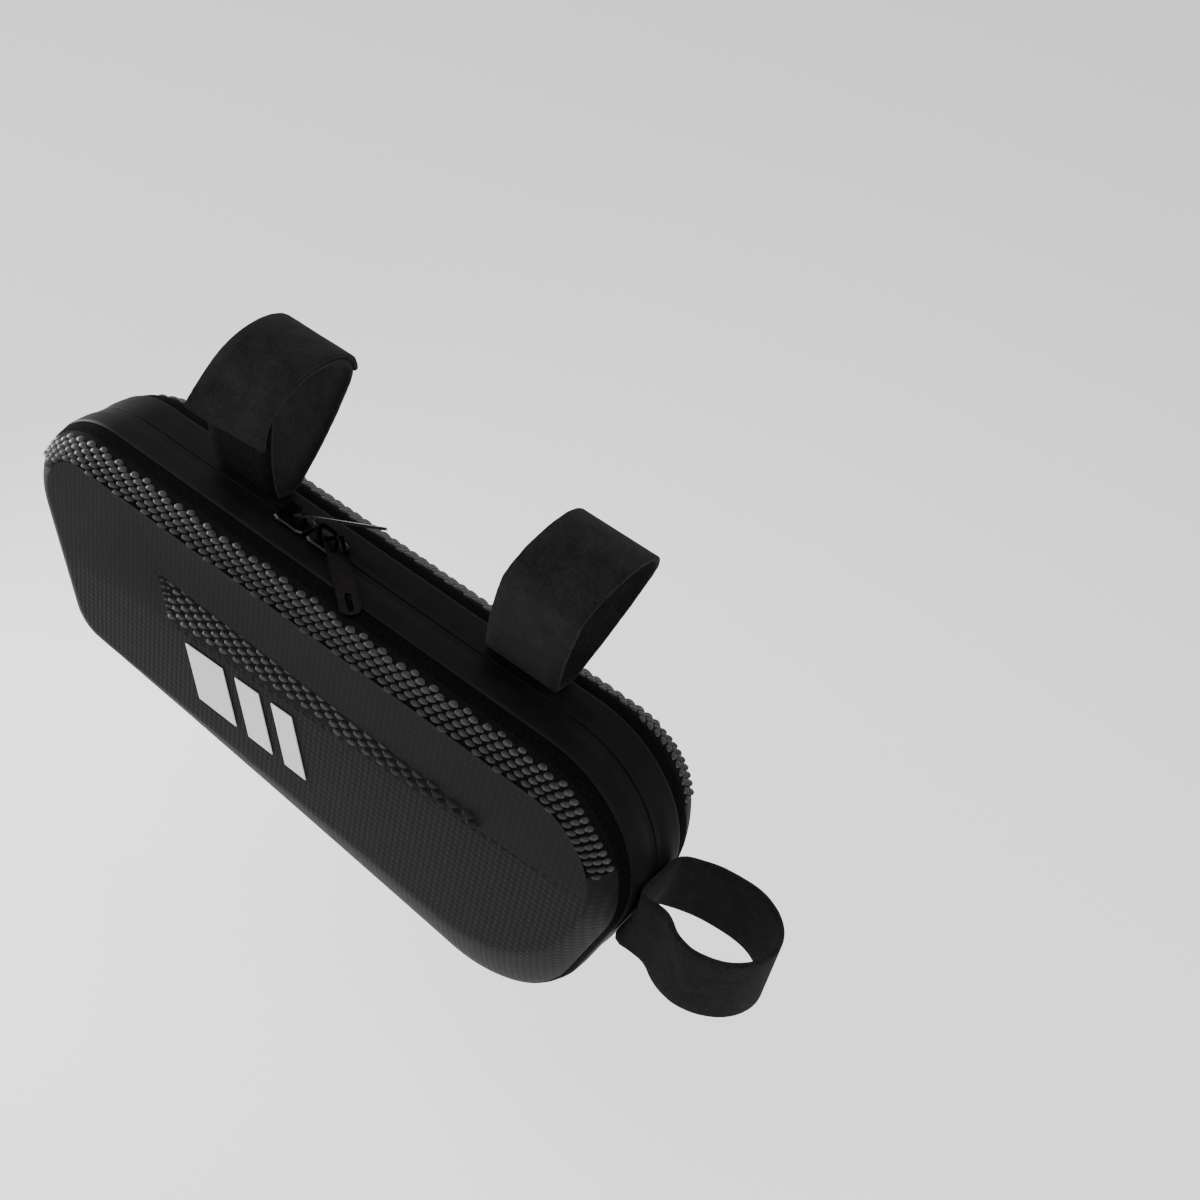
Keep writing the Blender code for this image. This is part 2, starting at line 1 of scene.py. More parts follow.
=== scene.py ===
# %% [markdown]
# # A moulded frame bag, dressed over its CAD frame
# The real object is a small bag of moulded foam board that hangs under a bicycle's top tube. Its packed
# CAD model gives every piece its place, and each step below adds the surface that the real bag shows.

# %% Load the frame
import bpy
import bmesh
from math import acos, atan2, cos, pi, radians, sin, tan
from mathutils import Matrix, Vector, noise


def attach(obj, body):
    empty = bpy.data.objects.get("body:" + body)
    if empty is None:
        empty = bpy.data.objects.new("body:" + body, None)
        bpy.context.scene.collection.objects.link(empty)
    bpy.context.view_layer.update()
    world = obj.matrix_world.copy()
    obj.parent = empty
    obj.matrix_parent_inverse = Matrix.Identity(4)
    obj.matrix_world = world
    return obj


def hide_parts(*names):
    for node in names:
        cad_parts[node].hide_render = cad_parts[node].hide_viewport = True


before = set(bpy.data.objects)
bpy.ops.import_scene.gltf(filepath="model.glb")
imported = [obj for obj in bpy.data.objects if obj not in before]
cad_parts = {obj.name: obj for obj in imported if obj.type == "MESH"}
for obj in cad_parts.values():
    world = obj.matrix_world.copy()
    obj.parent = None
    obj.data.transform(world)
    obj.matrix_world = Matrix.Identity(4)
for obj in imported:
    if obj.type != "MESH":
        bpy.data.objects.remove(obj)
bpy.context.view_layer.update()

BAG = "bag"
SIDES = (("near", -1), ("far", 1))

# %% [markdown]
# ## Camera
# Its place, turn and lens come from lining up the bag's straight edges with the photograph. Its axes
# are built from azimuth, elevation and roll, because each of these can be changed alone.

# %% Camera
AZIMUTH = radians(28.307)
ELEVATION = radians(39.524)
ROLL = radians(14.359)
EYE = Vector((0.24817, -0.32627, 0.30282))
back = Vector((sin(AZIMUTH) * cos(ELEVATION), -cos(AZIMUTH) * cos(ELEVATION), sin(ELEVATION)))
level = Vector((cos(AZIMUTH), sin(AZIMUTH), 0))
rise = back.cross(level)
right = level * cos(ROLL) + rise * sin(ROLL)
up = rise * cos(ROLL) - level * sin(ROLL)
camera_data = bpy.data.cameras.new("camera")
camera_data.sensor_width = 36
camera_data.lens = 48.48
camera_data.clip_start = 0.01
camera_data.clip_end = 20
camera = bpy.data.objects.new("camera", camera_data)
bpy.context.scene.collection.objects.link(camera)
camera.matrix_world = Matrix(((right.x, up.x, back.x, EYE.x), (right.y, up.y, back.y, EYE.y),
                              (right.z, up.z, back.z, EYE.z), (0, 0, 0, 1)))
bpy.context.scene.camera = camera
print("camera", round(EYE.length, 3), "m from the origin, lens", camera_data.lens)

# %% [markdown]
# ## Studio
# A pale floor lies well below the bag, because the bag hangs. One large soft light stands above the
# near side and two weaker ones left and right of it. Two small ones light the front and the rear end,
# and the sky is pale. Under the sky alone, the raised cells of a black bag would look flat.

# %% Floor
FLOOR_Z = -0.36
FLOOR_HALF = 6.0


def plain_material(name, colour, roughness, metallic=0.0, specular=0.5):
    """Principled material with its plain values set on the shader."""
    material = bpy.data.materials.new(name)
    material.use_nodes = True
    shader = material.node_tree.nodes["Principled BSDF"]
    shader.inputs["Base Color"].default_value = (*colour, 1)
    shader.inputs["Roughness"].default_value = roughness
    shader.inputs["Metallic"].default_value = metallic
    shader.inputs["Specular IOR Level"].default_value = specular
    return material


def link_mesh(name, mesh):
    """New object at the origin that shows a mesh."""
    thing = bpy.data.objects.new(name, mesh)
    bpy.context.scene.collection.objects.link(thing)
    return thing


floor_corners = [(x * FLOOR_HALF, y * FLOOR_HALF, FLOOR_Z) for x, y in ((-1, -1), (1, -1), (1, 1), (-1, 1))]
floor_mesh = bpy.data.meshes.new("floor")
floor_mesh.from_pydata(floor_corners, [], [(0, 1, 2, 3)])
floor = link_mesh("floor", floor_mesh)
floor.data.materials.append(plain_material("floor_paper", (0.93, 0.93, 0.93), 0.9))
print("floor at", FLOOR_Z, "m")

# %% Lights
LIGHT_TARGET = Vector((0, 0, -0.08))
LIGHTS = (  # name, place, size in metres, power in watts
    ("key", (-0.32, -0.85, 1.30), 1.10, 18.5),
    ("fill", (1.10, -1.20, 0.40), 1.00, 7.0),
    ("side", (-1.30, -0.55, 0.45), 0.70, 4.0),
    ("corner", (-0.44, -0.032, -0.03), 0.12, 2.6),
    ("rear", (0.80, -0.05, 0.55), 0.30, 4.5),
)
for name, place, size, power in LIGHTS:
    light = bpy.data.lights.new(name, "AREA")
    light.size = size
    light.energy = power
    lamp = bpy.data.objects.new(name, light)
    lamp.location = place
    lamp.rotation_euler = (LIGHT_TARGET - Vector(place)).to_track_quat("-Z", "Y").to_euler()
    bpy.context.scene.collection.objects.link(lamp)
world = bpy.data.worlds.new("sky")
world.use_nodes = True
sky = world.node_tree.nodes["Background"].inputs
sky["Color"].default_value = (1, 1, 1, 1)
sky["Strength"].default_value = 1.05
bpy.context.scene.world = world
print(len(LIGHTS), "lights")

# %% [markdown]
# ## Sizes and outline
# These repeat the part's own sizes, in metres, so that each new surface lies where its CAD piece does.
# The outline could be traced from the CAD mesh. It is computed instead, because the surfaces need it
# moved inward by many amounts, with the same number of points each time.

# %% Sizes
BAG_LENGTH = 0.278
BAG_CENTRE_X = -0.0225
BAG_DEPTH = 0.120
FRONT_LEAN = radians(22.0)
REAR_LEAN = radians(16.3)
TOP_RADII = (0.042, 0.034)  # rear and front
RIM_RADII = (0.042, 0.042, 0.014, 0.034)  # rear top, rear bottom, front bottom, front top
RIM_RISE = radians(6.1)
FACE_DEPTH = 0.0915
FACE_RISE = radians(2.4)
FACE_RADII = (0.028, 0.050, 0.013, 0.019)
BEVELS = (0.0083, 0.0088, 0.0, 0.018)  # from the rim to the face: top, rear, bottom, front
TOP_Z = -0.0526
FACE_Y = 0.0285
RIM_Y = 0.0139
FRONT_X = BAG_CENTRE_X - BAG_LENGTH / 2
REAR_X = BAG_CENTRE_X + BAG_LENGTH / 2
STEPS = (26, 22, 16, 20)  # points on each rounded corner
STRAIGHT_STEPS = 14
print("bag", BAG_LENGTH, "m long")

# %% Outline


def line_meet(point_a, way_a, point_b, way_b):
    """Crossing of two lines in the side view."""
    det = way_a.x * way_b.y - way_a.y * way_b.x
    gap = point_b - point_a
    return point_a + way_a * ((gap.x * way_b.y - gap.y * way_b.x) / det)


def round_corner(before, corner, after, radius, steps):
    """Arc points that round one corner."""
    back_way = (before - corner).normalized()
    ahead = (after - corner).normalized()
    angle = acos(back_way.dot(ahead))
    reach = radius / tan(angle / 2)
    centre = corner + (back_way + ahead).normalized() * (radius / sin(angle / 2))
    start = corner + back_way * reach - centre
    end = corner + ahead * reach - centre
    first = atan2(start.y, start.x)
    sweep = (atan2(end.y, end.x) - first + pi) % (2 * pi) - pi
    return [centre + Vector((cos(first + sweep * k / steps), sin(first + sweep * k / steps))) * radius
            for k in range(steps + 1)]


def side_outline(insets, depth, bottom_rise, radii):
    """Rounded outline in the XZ plane, as in the part's own source."""
    rear_reach = TOP_RADII[0] / tan((pi / 2 - REAR_LEAN) / 2)
    front_reach = TOP_RADII[1] / tan((pi / 2 - FRONT_LEAN) / 2)
    rear_top = Vector((REAR_X - TOP_RADII[0] + rear_reach, TOP_Z))
    front_top = Vector((FRONT_X + TOP_RADII[1] - front_reach, TOP_Z))
    rear_way = Vector((-sin(REAR_LEAN), -cos(REAR_LEAN)))
    front_way = Vector((sin(FRONT_LEAN), -cos(FRONT_LEAN)))
    bottom_way = Vector((-cos(bottom_rise), sin(bottom_rise)))
    rear_bottom = rear_top + rear_way * (depth / cos(REAR_LEAN))
    top, rear, bottom, front = insets
    edges = ((rear_top - Vector((0, top)), Vector((1, 0))),
             (rear_top + Vector((rear_way.y, -rear_way.x)) * rear, rear_way),
             (rear_bottom + Vector((bottom_way.y, -bottom_way.x)) * bottom, bottom_way),
             (front_top + Vector((-front_way.y, front_way.x)) * front, front_way))
    corners = [line_meet(*edges[k], *edges[(k + 1) % 4]) for k in range(4)]
    points = []
    for k in range(4):
        arc = round_corner(corners[k - 1], corners[k], corners[(k + 1) % 4], radii[k], STEPS[k])
        if points:
            points += straight_points(points[-1], arc[0])
        points += arc
    return points + straight_points(points[-1], points[0])


def straight_points(start, end):
    """Points between two arcs, the same count on every outline."""
    return [start.lerp(end, k / STRAIGHT_STEPS) for k in range(1, STRAIGHT_STEPS)]


def rim_outline(inset):
    """The rim, moved inward."""
    return side_outline((inset,) * 4, BAG_DEPTH, RIM_RISE, [radius - inset for radius in RIM_RADII])


def face_outline(inset):
    """The flat face, moved inward."""
    insets = [bevel + inset for bevel in BEVELS]
    return side_outline(insets, FACE_DEPTH, FACE_RISE, [radius - inset for radius in FACE_RADII])


print("outline of", len(rim_outline(0)), "points")

# %% [markdown]
# ## Mesh helpers
# A ring is one outline at one depth. Two rings of the same count make a band of quads, so that a pan or
# a belt is a stack of rings. A bmesh is used because faces can be added to it one at a time, each with
# its own material.

# %% Mesh helpers


def add_ring(mesh, points, y):
    """One outline's vertices at a depth."""
    return [mesh.verts.new((point.x, y, point.y)) for point in points]


def join_rings(mesh, ring_a, ring_b, slot=0):
    """Quads between two rings."""
    count = len(ring_a)
    made = []
    for k in range(count):
        face = mesh.faces.new((ring_a[k], ring_a[(k + 1) % count], ring_b[(k + 1) % count], ring_b[k]))
        face.material_index = slot
        made.append(face)
    return made


def finish_mesh(name, mesh, materials, angle=35.0):
    """Object of a bmesh, shaded smooth apart from edges sharper than the angle."""
    bmesh.ops.recalc_face_normals(mesh, faces=mesh.faces)
    data = bpy.data.meshes.new(name)
    mesh.to_mesh(data)
    mesh.free()
    data.shade_smooth()
    data.set_sharp_from_angle(angle=radians(angle))
    thing = link_mesh(name, data)
    for material in materials:
        data.materials.append(material)
    return thing


# %% [markdown]
# ## Materials
# Each material mixes its tone from a pattern in the object's own coordinates and takes its relief from
# the same pattern, so that both stay at the real scale. A picture of the cloth would
# show its seams, and a pattern made of nodes has none.

# %% Node helpers


def add_node(tree, kind, inputs, **settings):
    """New node with its settings and inputs, which are values or other nodes' outputs."""
    node = tree.nodes.new(kind)
    for key, value in settings.items():
        setattr(node, key, value)
    for key, value in inputs.items():
        if isinstance(value, bpy.types.NodeSocket):
            tree.links.new(value, node.inputs[key])
        else:
            node.inputs[key].default_value = value
    return node.outputs


class Nodes:
    """Short way to add and link shader nodes."""

    def __init__(self, material):
        self.tree = material.node_tree
        self.shader = self.tree.nodes["Principled BSDF"]
        self.coords = self.tree.nodes.new("ShaderNodeTexCoord").outputs["Object"]

    def add(self, kind, inputs, output=0, **settings):
        """New node's output."""
        return add_node(self.tree, kind, inputs, **settings)[output]

    def math(self, operation, a, b=0.0, clamp=False):
        """Math node."""
        return self.add("ShaderNodeMath", {0: a, 1: b}, operation=operation, use_clamp=clamp)

    def noise(self, scale, detail=3.0, roughness=0.6):
        """Noise value in the object's coordinates."""
        inputs = {"Vector": self.coords, "Scale": scale, "Detail": detail, "Roughness": roughness}
        return self.add("ShaderNodeTexNoise", inputs, "Fac")

    def span(self, value, low, high, at_low=0.0, at_high=1.0):
        """Value mapped from one range to another and held at both ends."""
        return self.add("ShaderNodeMapRange", {
            "Value": value, "From Min": low, "From Max": high, "To Min": at_low, "To Max": at_high})

    def colour(self, factor, low, high, start, end):
        """Colour ramp between two tones."""
        node = self.tree.nodes.new("ShaderNodeValToRGB")
        for stop, place, tone in zip(node.color_ramp.elements, (start, end), (low, high)):
            stop.position = place
            stop.color = (*tone, 1)
        self.tree.links.new(factor, node.inputs["Fac"])
        self.tree.links.new(node.outputs["Color"], self.shader.inputs["Base Color"])

    def roughness(self, factor, low, high):
        """Roughness that follows a pattern."""
        self.tree.links.new(self.span(factor, 0.0, 1.0, low, high), self.shader.inputs["Roughness"])

    def bump(self, height, distance, strength):
        """Relief on the shader."""
        normal = self.add("ShaderNodeBump", {"Height": height, "Distance": distance, "Strength": strength})
        self.tree.links.new(normal, self.shader.inputs["Normal"])

    def axis(self, name):
        """One coordinate."""
        return self.add("ShaderNodeSeparateXYZ", {"Vector": self.coords}, name)

    def ridge(self, value, pitch):
        """Rounded ridges: 0 in the groove and 1 on the crest, once per pitch."""
        wave = self.math("SINE", self.math("MULTIPLY", value, 2 * pi / pitch))
        return self.math("ADD", self.math("MULTIPLY", wave, 0.5), 0.5)


# %% [markdown]
# ## Woven face
# The face of the real shell is pressed with a fine square weave, which is fainter above a dashed line
# that crosses it. As geometry the weave would need millions of faces. It is relief in the material, made
# of two sets of ridges that are multiplied, and the dashed line is cut from the same coordinates. The
# grooves of the weave and the dashed line are also painted darker in the tone, as painted shade.

# %% Woven face
WEAVE_PITCH = 0.0024
WEAVE_ABOVE = 0.35  # share of the weave that is left above the dashed line
LINE_BLEND = 0.004
CREASE = (-0.0953, 0.0722)  # height of the dashed line at x = 0, and its rise along x
CREASE_EDGES = (0.0004, 0.0012)  # from its middle, where it starts to fade and where it ends
CREASE_ENDS = (-0.079, 0.112)
CREASE_FADE = 0.055
NOTCH_PITCH = 0.0042

shell_face = plain_material("shell_weave", (0.007, 0.007, 0.0075), 0.6, specular=0.08)
n = Nodes(shell_face)
across = n.ridge(n.axis("X"), WEAVE_PITCH)
along = n.ridge(n.axis("Z"), WEAVE_PITCH)
cells = n.math("MULTIPLY", n.math("POWER", across, 0.7), n.math("POWER", along, 0.35))
below = n.math("SUBTRACT", n.math("ADD", n.math("MULTIPLY", n.axis("X"), CREASE[1]), CREASE[0]), n.axis("Z"))
panel = n.span(below, -LINE_BLEND, LINE_BLEND, WEAVE_ABOVE, 1.0)
line = n.span(n.math("ABSOLUTE", below), *CREASE_EDGES, 1.0, 0.0)
start = n.span(n.axis("X"), CREASE_ENDS[0], CREASE_ENDS[0] + LINE_BLEND)
end = n.span(n.axis("X"), CREASE_FADE, CREASE_ENDS[1], 1.0, 0.0)
notch = n.math("ADD", n.math("MULTIPLY", n.ridge(n.axis("X"), NOTCH_PITCH), 1.3), -0.15, clamp=True)
crease = n.math("MULTIPLY", n.math("MULTIPLY", n.math("MULTIPLY", line, notch), start), end)
grain = n.noise(900.0, 2.0)
weave = n.math("MULTIPLY", cells, panel)
height = n.math("ADD", weave, n.math("MULTIPLY", grain, 0.2))
height = n.math("SUBTRACT", height, n.math("MULTIPLY", crease, 1.5))
# The tone follows the relief: the weave's grooves and the dashed crease are painted darker, as painted
# shade.
tone = n.math("ADD", n.math("MULTIPLY", weave, 0.50), n.math("MULTIPLY", grain, 0.26))
tone = n.math("SUBTRACT", n.math("ADD", tone, 0.10), n.math("MULTIPLY", crease, 1.3))
n.colour(tone, (0.0004, 0.0004, 0.0005), (0.0080, 0.0080, 0.0084), 0.0, 0.75)
n.roughness(grain, 0.55, 0.72)
n.bump(height, 0.00014, 0.8)
print("weave every", WEAVE_PITCH, "m")

# %% [markdown]
# ## Net, groove and strip
# The net's cells are glossier than the face, so that each one catches a highlight. The ground between
# them is painted nearly black, as painted shade for the shade that falls between the raised cells. The
# ground of the pressed strip fades along the bag to the tone of the face.

# %% Net, groove and strip
# The net's ground: painted shade between the raised cells, nearly black.
net_ground_shade = plain_material("net_ground_painted_shade", (0.002, 0.002, 0.0022), 0.85, specular=0.03)
n = Nodes(net_ground_shade)
grain = n.noise(1500.0)
n.colour(grain, (0.0008, 0.0008, 0.0009), (0.0030, 0.0030, 0.0033), 0.3, 0.7)
n.bump(grain, 0.0001, 0.5)

shell_strip = plain_material("shell_strip", (0.005, 0.005, 0.0055), 0.7, specular=0.06)
n = Nodes(shell_strip)
rearward = n.span(n.axis("X"), 0.0, 0.05)
n.colour(n.math("ADD", rearward, n.math("MULTIPLY", n.noise(1500.0), 0.2)), (0.0045, 0.0045, 0.0048),
         (0.0075, 0.0075, 0.0079), 0.1, 1.0)
n.bump(n.noise(1500.0), 0.0001, 0.5)

shell_knob = plain_material("shell_net", (0.010, 0.010, 0.0103), 0.42, specular=0.28)
n = Nodes(shell_knob)
grain = n.noise(1200.0)
n.colour(grain, (0.0068, 0.0068, 0.0071), (0.0128, 0.0128, 0.0133), 0.3, 0.7)
n.roughness(grain, 0.38, 0.52)
n.bump(grain, 0.00008, 0.5)
print(net_ground_shade.name, shell_strip.name, shell_knob.name)

# %% [markdown]
# ## Cloth, tape and film
# The bound edge and the loops are hairy cloth, and the band is smooth coated cloth. Hair strands could
# be grown, but at this distance a rough noise reads the same and weighs nothing. The hook tape is a
# field of fine dots, and the reflective film a layer of tiny beads. The hook tape is also darker than
# the loops as painted shade under the flap and the tube, and the near-black binding also paints the
# crease beside the face, as painted shade.

# %% Cloth, tape and film
# Near-black hairy binding for the bound edge. The same material paints the crease beside the face
# near-black, as painted shade.
binding_and_crease_shade = plain_material("binding_nap_and_crease_shade", (0.002, 0.002, 0.0022), 0.95, specular=0.02)
n = Nodes(binding_and_crease_shade)
nap = n.noise(1400.0, 5.0, 0.7)
n.colour(nap, (0.0003, 0.0003, 0.0004), (0.0034, 0.0034, 0.0038), 0.35, 0.7)
n.bump(nap, 0.0003, 0.9)

coated = plain_material("coated_cloth", (0.003, 0.003, 0.003), 0.55, specular=0.045)
n = Nodes(coated)
soft = n.noise(60.0, 2.0)
grain = n.noise(2600.0, 2.0)
n.colour(soft, (0.0018, 0.0018, 0.0018), (0.0032, 0.0032, 0.0031), 0.3, 0.7)
n.roughness(soft, 0.50, 0.62)
n.bump(grain, 0.00004, 0.5)

webbing = plain_material("fuzzy_webbing", (0.005, 0.005, 0.0053), 0.95, specular=0.05)
n = Nodes(webbing)
nap = n.noise(900.0, 6.0, 0.75)
patch = n.noise(170.0, 3.0)
tone = n.math("ADD", n.math("MULTIPLY", nap, 0.65), n.math("MULTIPLY", patch, 0.35))
n.colour(tone, (0.0018, 0.0018, 0.0021), (0.0092, 0.0092, 0.0098), 0.36, 0.64)
n.bump(tone, 0.0011, 0.9)
n.shader.inputs["Sheen Weight"].default_value = 0.02

# Hook tape: its own dotted tone, made darker than the loops as painted shade under the flap and the tube.
hooks_with_shade = plain_material("hook_tape_with_shade", (0.0015, 0.0015, 0.0017), 0.85, specular=0.04)
n = Nodes(hooks_with_shade)
dots = n.add("ShaderNodeTexVoronoi", {"Vector": n.coords, "Scale": 900.0}, "Distance")
n.colour(dots, (0.0032, 0.0032, 0.0035), (0.0008, 0.0008, 0.001), 0.1, 0.6)
n.bump(dots, 0.0003, 0.7)

film = plain_material("reflective_film", (0.50, 0.50, 0.51), 0.38, specular=0.4)
n = Nodes(film)
beads = n.noise(2200.0, 2.0)
n.colour(beads, (0.36, 0.36, 0.37), (0.58, 0.58, 0.59), 0.3, 0.7)
n.roughness(beads, 0.32, 0.5)
n.bump(beads, 0.00003, 0.4)
print(len(bpy.data.materials), "materials so far")

# %% [markdown]
# ## Metal
# The sliders and pulls are dark plated metal. Their edges are painted bright, as a painted highlight
# where the real edges catch the light. The bright metal is a material of its own, for a fine bevel, so
# that it exports as it looks.

# %% Metal
gunmetal = plain_material("gunmetal", (0.012, 0.011, 0.011), 0.3, 1.0)
n = Nodes(gunmetal)
brush = n.noise(700.0, 2.0)
n.colour(brush, (0.009, 0.008, 0.008), (0.016, 0.0145, 0.014), 0.2, 0.8)
n.roughness(brush, 0.26, 0.36)
n.bump(brush, 0.00002, 0.3)

# Bright metal on the bevelled edges: a painted highlight where the edges catch the light.
edge_highlight_metal = plain_material("gunmetal_painted_highlight", (0.42, 0.40, 0.38), 0.25, 1.0)
n = Nodes(edge_highlight_metal)
brush = n.noise(700.0, 2.0)
n.colour(brush, (0.30, 0.28, 0.27), (0.52, 0.49, 0.47), 0.3, 0.7)
n.roughness(brush, 0.18, 0.34)
print(len(bpy.data.materials), "materials")

# %% [markdown]
# ## Pans
# A pan is one moulded half of the bag. It is lofted here from the rim to the flat face. A dark bound
# edge comes first. Along the top and round the rear corner a net follows, with a crease beside the face
# that the near-black binding paints as painted shade.
# Elsewhere the weave runs on to the rim. A Bevel modifier on the CAD piece would be quicker, but it
# would give the edge, the net's ground and the crease no rows of faces of their own.

# %% Rows of a pan
# share of the way from rim to face, and share of the pan's depth
EDGE_ROWS = ((0, 0), (0.012, 0.07), (0.03, 0.14), (0.075, 0.25))
NET_ROWS = EDGE_ROWS + (
    (0.15, 0.325), (0.165, 0.365), (0.30, 0.50), (0.48, 0.67), (0.66, 0.80), (0.84, 0.905), (0.95, 0.962),
    (0.975, 0.962), (1, 1))
PLAIN_ROWS = EDGE_ROWS + (
    (0.13, 0.335), (0.17, 0.40), (0.28, 0.52), (0.42, 0.65), (0.58, 0.775), (0.74, 0.88), (0.88, 0.958),
    (0.95, 0.988), (1, 1))
BINDING_ROWS = 4
NET_ENDS = (24.0, 158.0)  # degrees, outward direction of the rim where the net ends and starts
NET_FADE = 6.0  # degrees over which the net gives way to the weave
FULL_NET = 0.98  # weight above which the dark ground of the net shows


def net_weights(points):
    """For each rim point: 1 where the net runs, 0 where the weave does, with a short fade between."""
    weights = []
    for k, point in enumerate(points):
        way = points[(k + 1) % len(points)] - points[k - 1]
        angle = atan2(way.x, -way.y) * 180 / pi
        inside = min(angle - NET_ENDS[0], NET_ENDS[1] - angle)
        weights.append(max(0.0, min(1.0, 0.5 + inside / NET_FADE)))
    return weights


def pan_point(rim_point, face_point, share, depth, side):
    """Point on a pan's side."""
    flat = rim_point.lerp(face_point, share)
    return Vector((flat.x, side * (RIM_Y + (FACE_Y - RIM_Y) * depth), flat.y))


print("net between", NET_ENDS, "degrees")

# %% [markdown]
# ## Pressed strip
# A long wedge is pressed into the face. It is deepest along its top edge, and its floor rises to the
# face at its lower edge. A boolean could cut it, but laying its five faces by hand and filling the flat
# face round them keeps the mesh clean.

# %% Pressed strip
STRIP_START = 0.0745
STRIP_LENGTH = 0.152
STRIP_TOP = 0.0297  # from the bag's top to the strip's
STRIP_FALL = 0.0034
STRIP_HEIGHTS = (0.0182, 0.0045)  # front and rear
STRIP_POINT = 0.0080  # how far the lower front corner is set back
STRIP_END_SLOPE = 0.0045
STRIP_DEPTH = 0.0022


def strip_points():
    """The recess in the side view: its four corners on the face, then the two sunk ones with their depth."""
    front = FRONT_X + STRIP_START
    rear = front + STRIP_LENGTH
    top = TOP_Z - STRIP_TOP
    rear_top = top - STRIP_FALL
    loop = ((front, top), (rear, rear_top), (rear, rear_top - STRIP_HEIGHTS[1]),
            (front + STRIP_POINT, top - STRIP_HEIGHTS[0]))
    sunk = ((front + STRIP_END_SLOPE, top, STRIP_DEPTH),
            (rear, rear_top, STRIP_DEPTH * STRIP_HEIGHTS[1] / STRIP_HEIGHTS[0]))
    return loop, sunk


def press_strip(mesh, inner, side):
    """Flat face inside a ring, with the strip pressed into it."""
    loop, sunk = strip_points()
    corners = [mesh.verts.new((x, side * FACE_Y, z)) for x, z in loop]
    low = [mesh.verts.new((x, side * (FACE_Y - depth), z)) for x, z, depth in sunk]
    edges = []
    for around in (inner, corners):
        for k, vert in enumerate(around):
            after = around[(k + 1) % len(around)]
            edges.append(mesh.edges.get((vert, after)) or mesh.edges.new((vert, after)))
    bmesh.ops.triangle_fill(mesh, edges=edges, use_beauty=True, use_dissolve=False, normal=(0, side, 0))
    for group in ((corners[0], corners[1], low[1], low[0]), (corners[0], low[0], corners[3]),
                  (corners[1], corners[2], low[1]), (low[0], low[1], corners[3]),
                  (low[1], corners[2], corners[3])):
        mesh.faces.new(group).material_index = 3


print("strip", STRIP_LENGTH, "m long")

# %% Both pans
PAN_WALL = 0.0022
FACE_WALL = 0.0032  # behind the face, to leave room for the pressed strip
FACE_EDGE = 0.0015  # from the face's outline to the first ring inside it
LINING_START = 2  # the first plain row that the inner wall follows


def line_pan(mesh, rim_ring, side):
    """Plain inner wall, from the ring inside the rim to a flat end behind the face."""
    lining = [rim_ring]
    inner_rim, inner_face = rim_outline(PAN_WALL), face_outline(PAN_WALL / 2)
    for share, depth in PLAIN_ROWS[LINING_START:]:
        ring = []
        for a, b in zip(inner_rim, inner_face):
            point = pan_point(a, b, share, depth, side)
            ring.append(mesh.verts.new((point.x, point.y - side * FACE_WALL * depth, point.z)))
        lining.append(ring)
    for ring_a, ring_b in zip(lining[:-1], lining[1:]):
        join_rings(mesh, ring_a, ring_b, 1)
    mesh.faces.new(lining[-1]).material_index = 1


def pan(name, side):
    """One pan: its outer skin, and a plain inner one a wall's thickness inside it."""
    mesh = bmesh.new()
    rim = rim_outline(0.0)
    face = face_outline(0.0)
    weights = net_weights(rim)
    rings = [add_ring(mesh, rim_outline(PAN_WALL), side * RIM_Y)]
    for net_row, plain_row in zip(NET_ROWS, PLAIN_ROWS):
        ring = []
        for a, b, weight in zip(rim, face, weights):
            share = plain_row[0] + (net_row[0] - plain_row[0]) * weight
            depth = plain_row[1] + (net_row[1] - plain_row[1]) * weight
            ring.append(mesh.verts.new(pan_point(a, b, share, depth, side)))
        rings.append(ring)
    # The bound edge's rows take the near-black binding, and so does the crease row beside the face, where it
    # is painted shade.
    for k in range(len(rings) - 1):
        made = join_rings(mesh, rings[k], rings[k + 1], 1 if k <= BINDING_ROWS else 0)
        for column, quad in enumerate(made):
            # Other rows of full net take the net's ground, painted nearly black as shade between the cells.
            if k > BINDING_ROWS and weights[column] > FULL_NET:
                quad.material_index = 1 if k == len(rings) - 2 else 2
    inner = add_ring(mesh, face_outline(FACE_EDGE), side * FACE_Y)
    join_rings(mesh, rings[-1], inner)
    press_strip(mesh, inner, side)
    line_pan(mesh, rings[0], side)
    thing = finish_mesh(name, mesh, [shell_face, binding_and_crease_shade, net_ground_shade, shell_strip], 30.0)
    return thing


for side_name, side in SIDES:
    shell = pan(side_name + "_pan", side)
    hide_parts(side_name + "_shell")
    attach(shell, BAG)
    print(shell.name, len(shell.data.polygons), "faces")

# %% [markdown]
# ## Net of raised cells
# The real net is embossed: rounded cells in a honeycomb, packed close on the bevel and in the strip.
# Displacement could raise them, but only on a very dense mesh. Here the places of the cells are worked
# out first, as single points, and a node tree then sets one dome on each.

# %% Lattice
CELL_PITCH = 0.00325
LATTICE_TURN = radians(-8)
CELL_HEIGHT = 0.0012
CELL_SINK = 0.615  # share of a cell's height that lies below the surface


def lattice(low, high):
    """Points of a hexagonal lattice, turned a little, between two corners of a plane."""
    column = CELL_PITCH * sin(pi / 3)
    count = int((high[0] - low[0] + high[1] - low[1]) / column) + 2
    places = []
    for i in range(-count, count):
        for j in range(-count, count):
            across = i * column
            down = (j + 0.5 * (i % 2)) * CELL_PITCH
            u = across * cos(LATTICE_TURN) - down * sin(LATTICE_TURN)
            v = across * sin(LATTICE_TURN) + down * cos(LATTICE_TURN)
            if low[0] <= u <= high[0] and low[1] <= v <= high[1]:
                places.append((u, v))
    return places


def walk(lengths, distance):
    """Segment and share of it at a distance along a run of lengths."""
    for k, length in enumerate(lengths):
        if distance <= length or k == len(lengths) - 1:
            return k, distance / length
        distance -= length


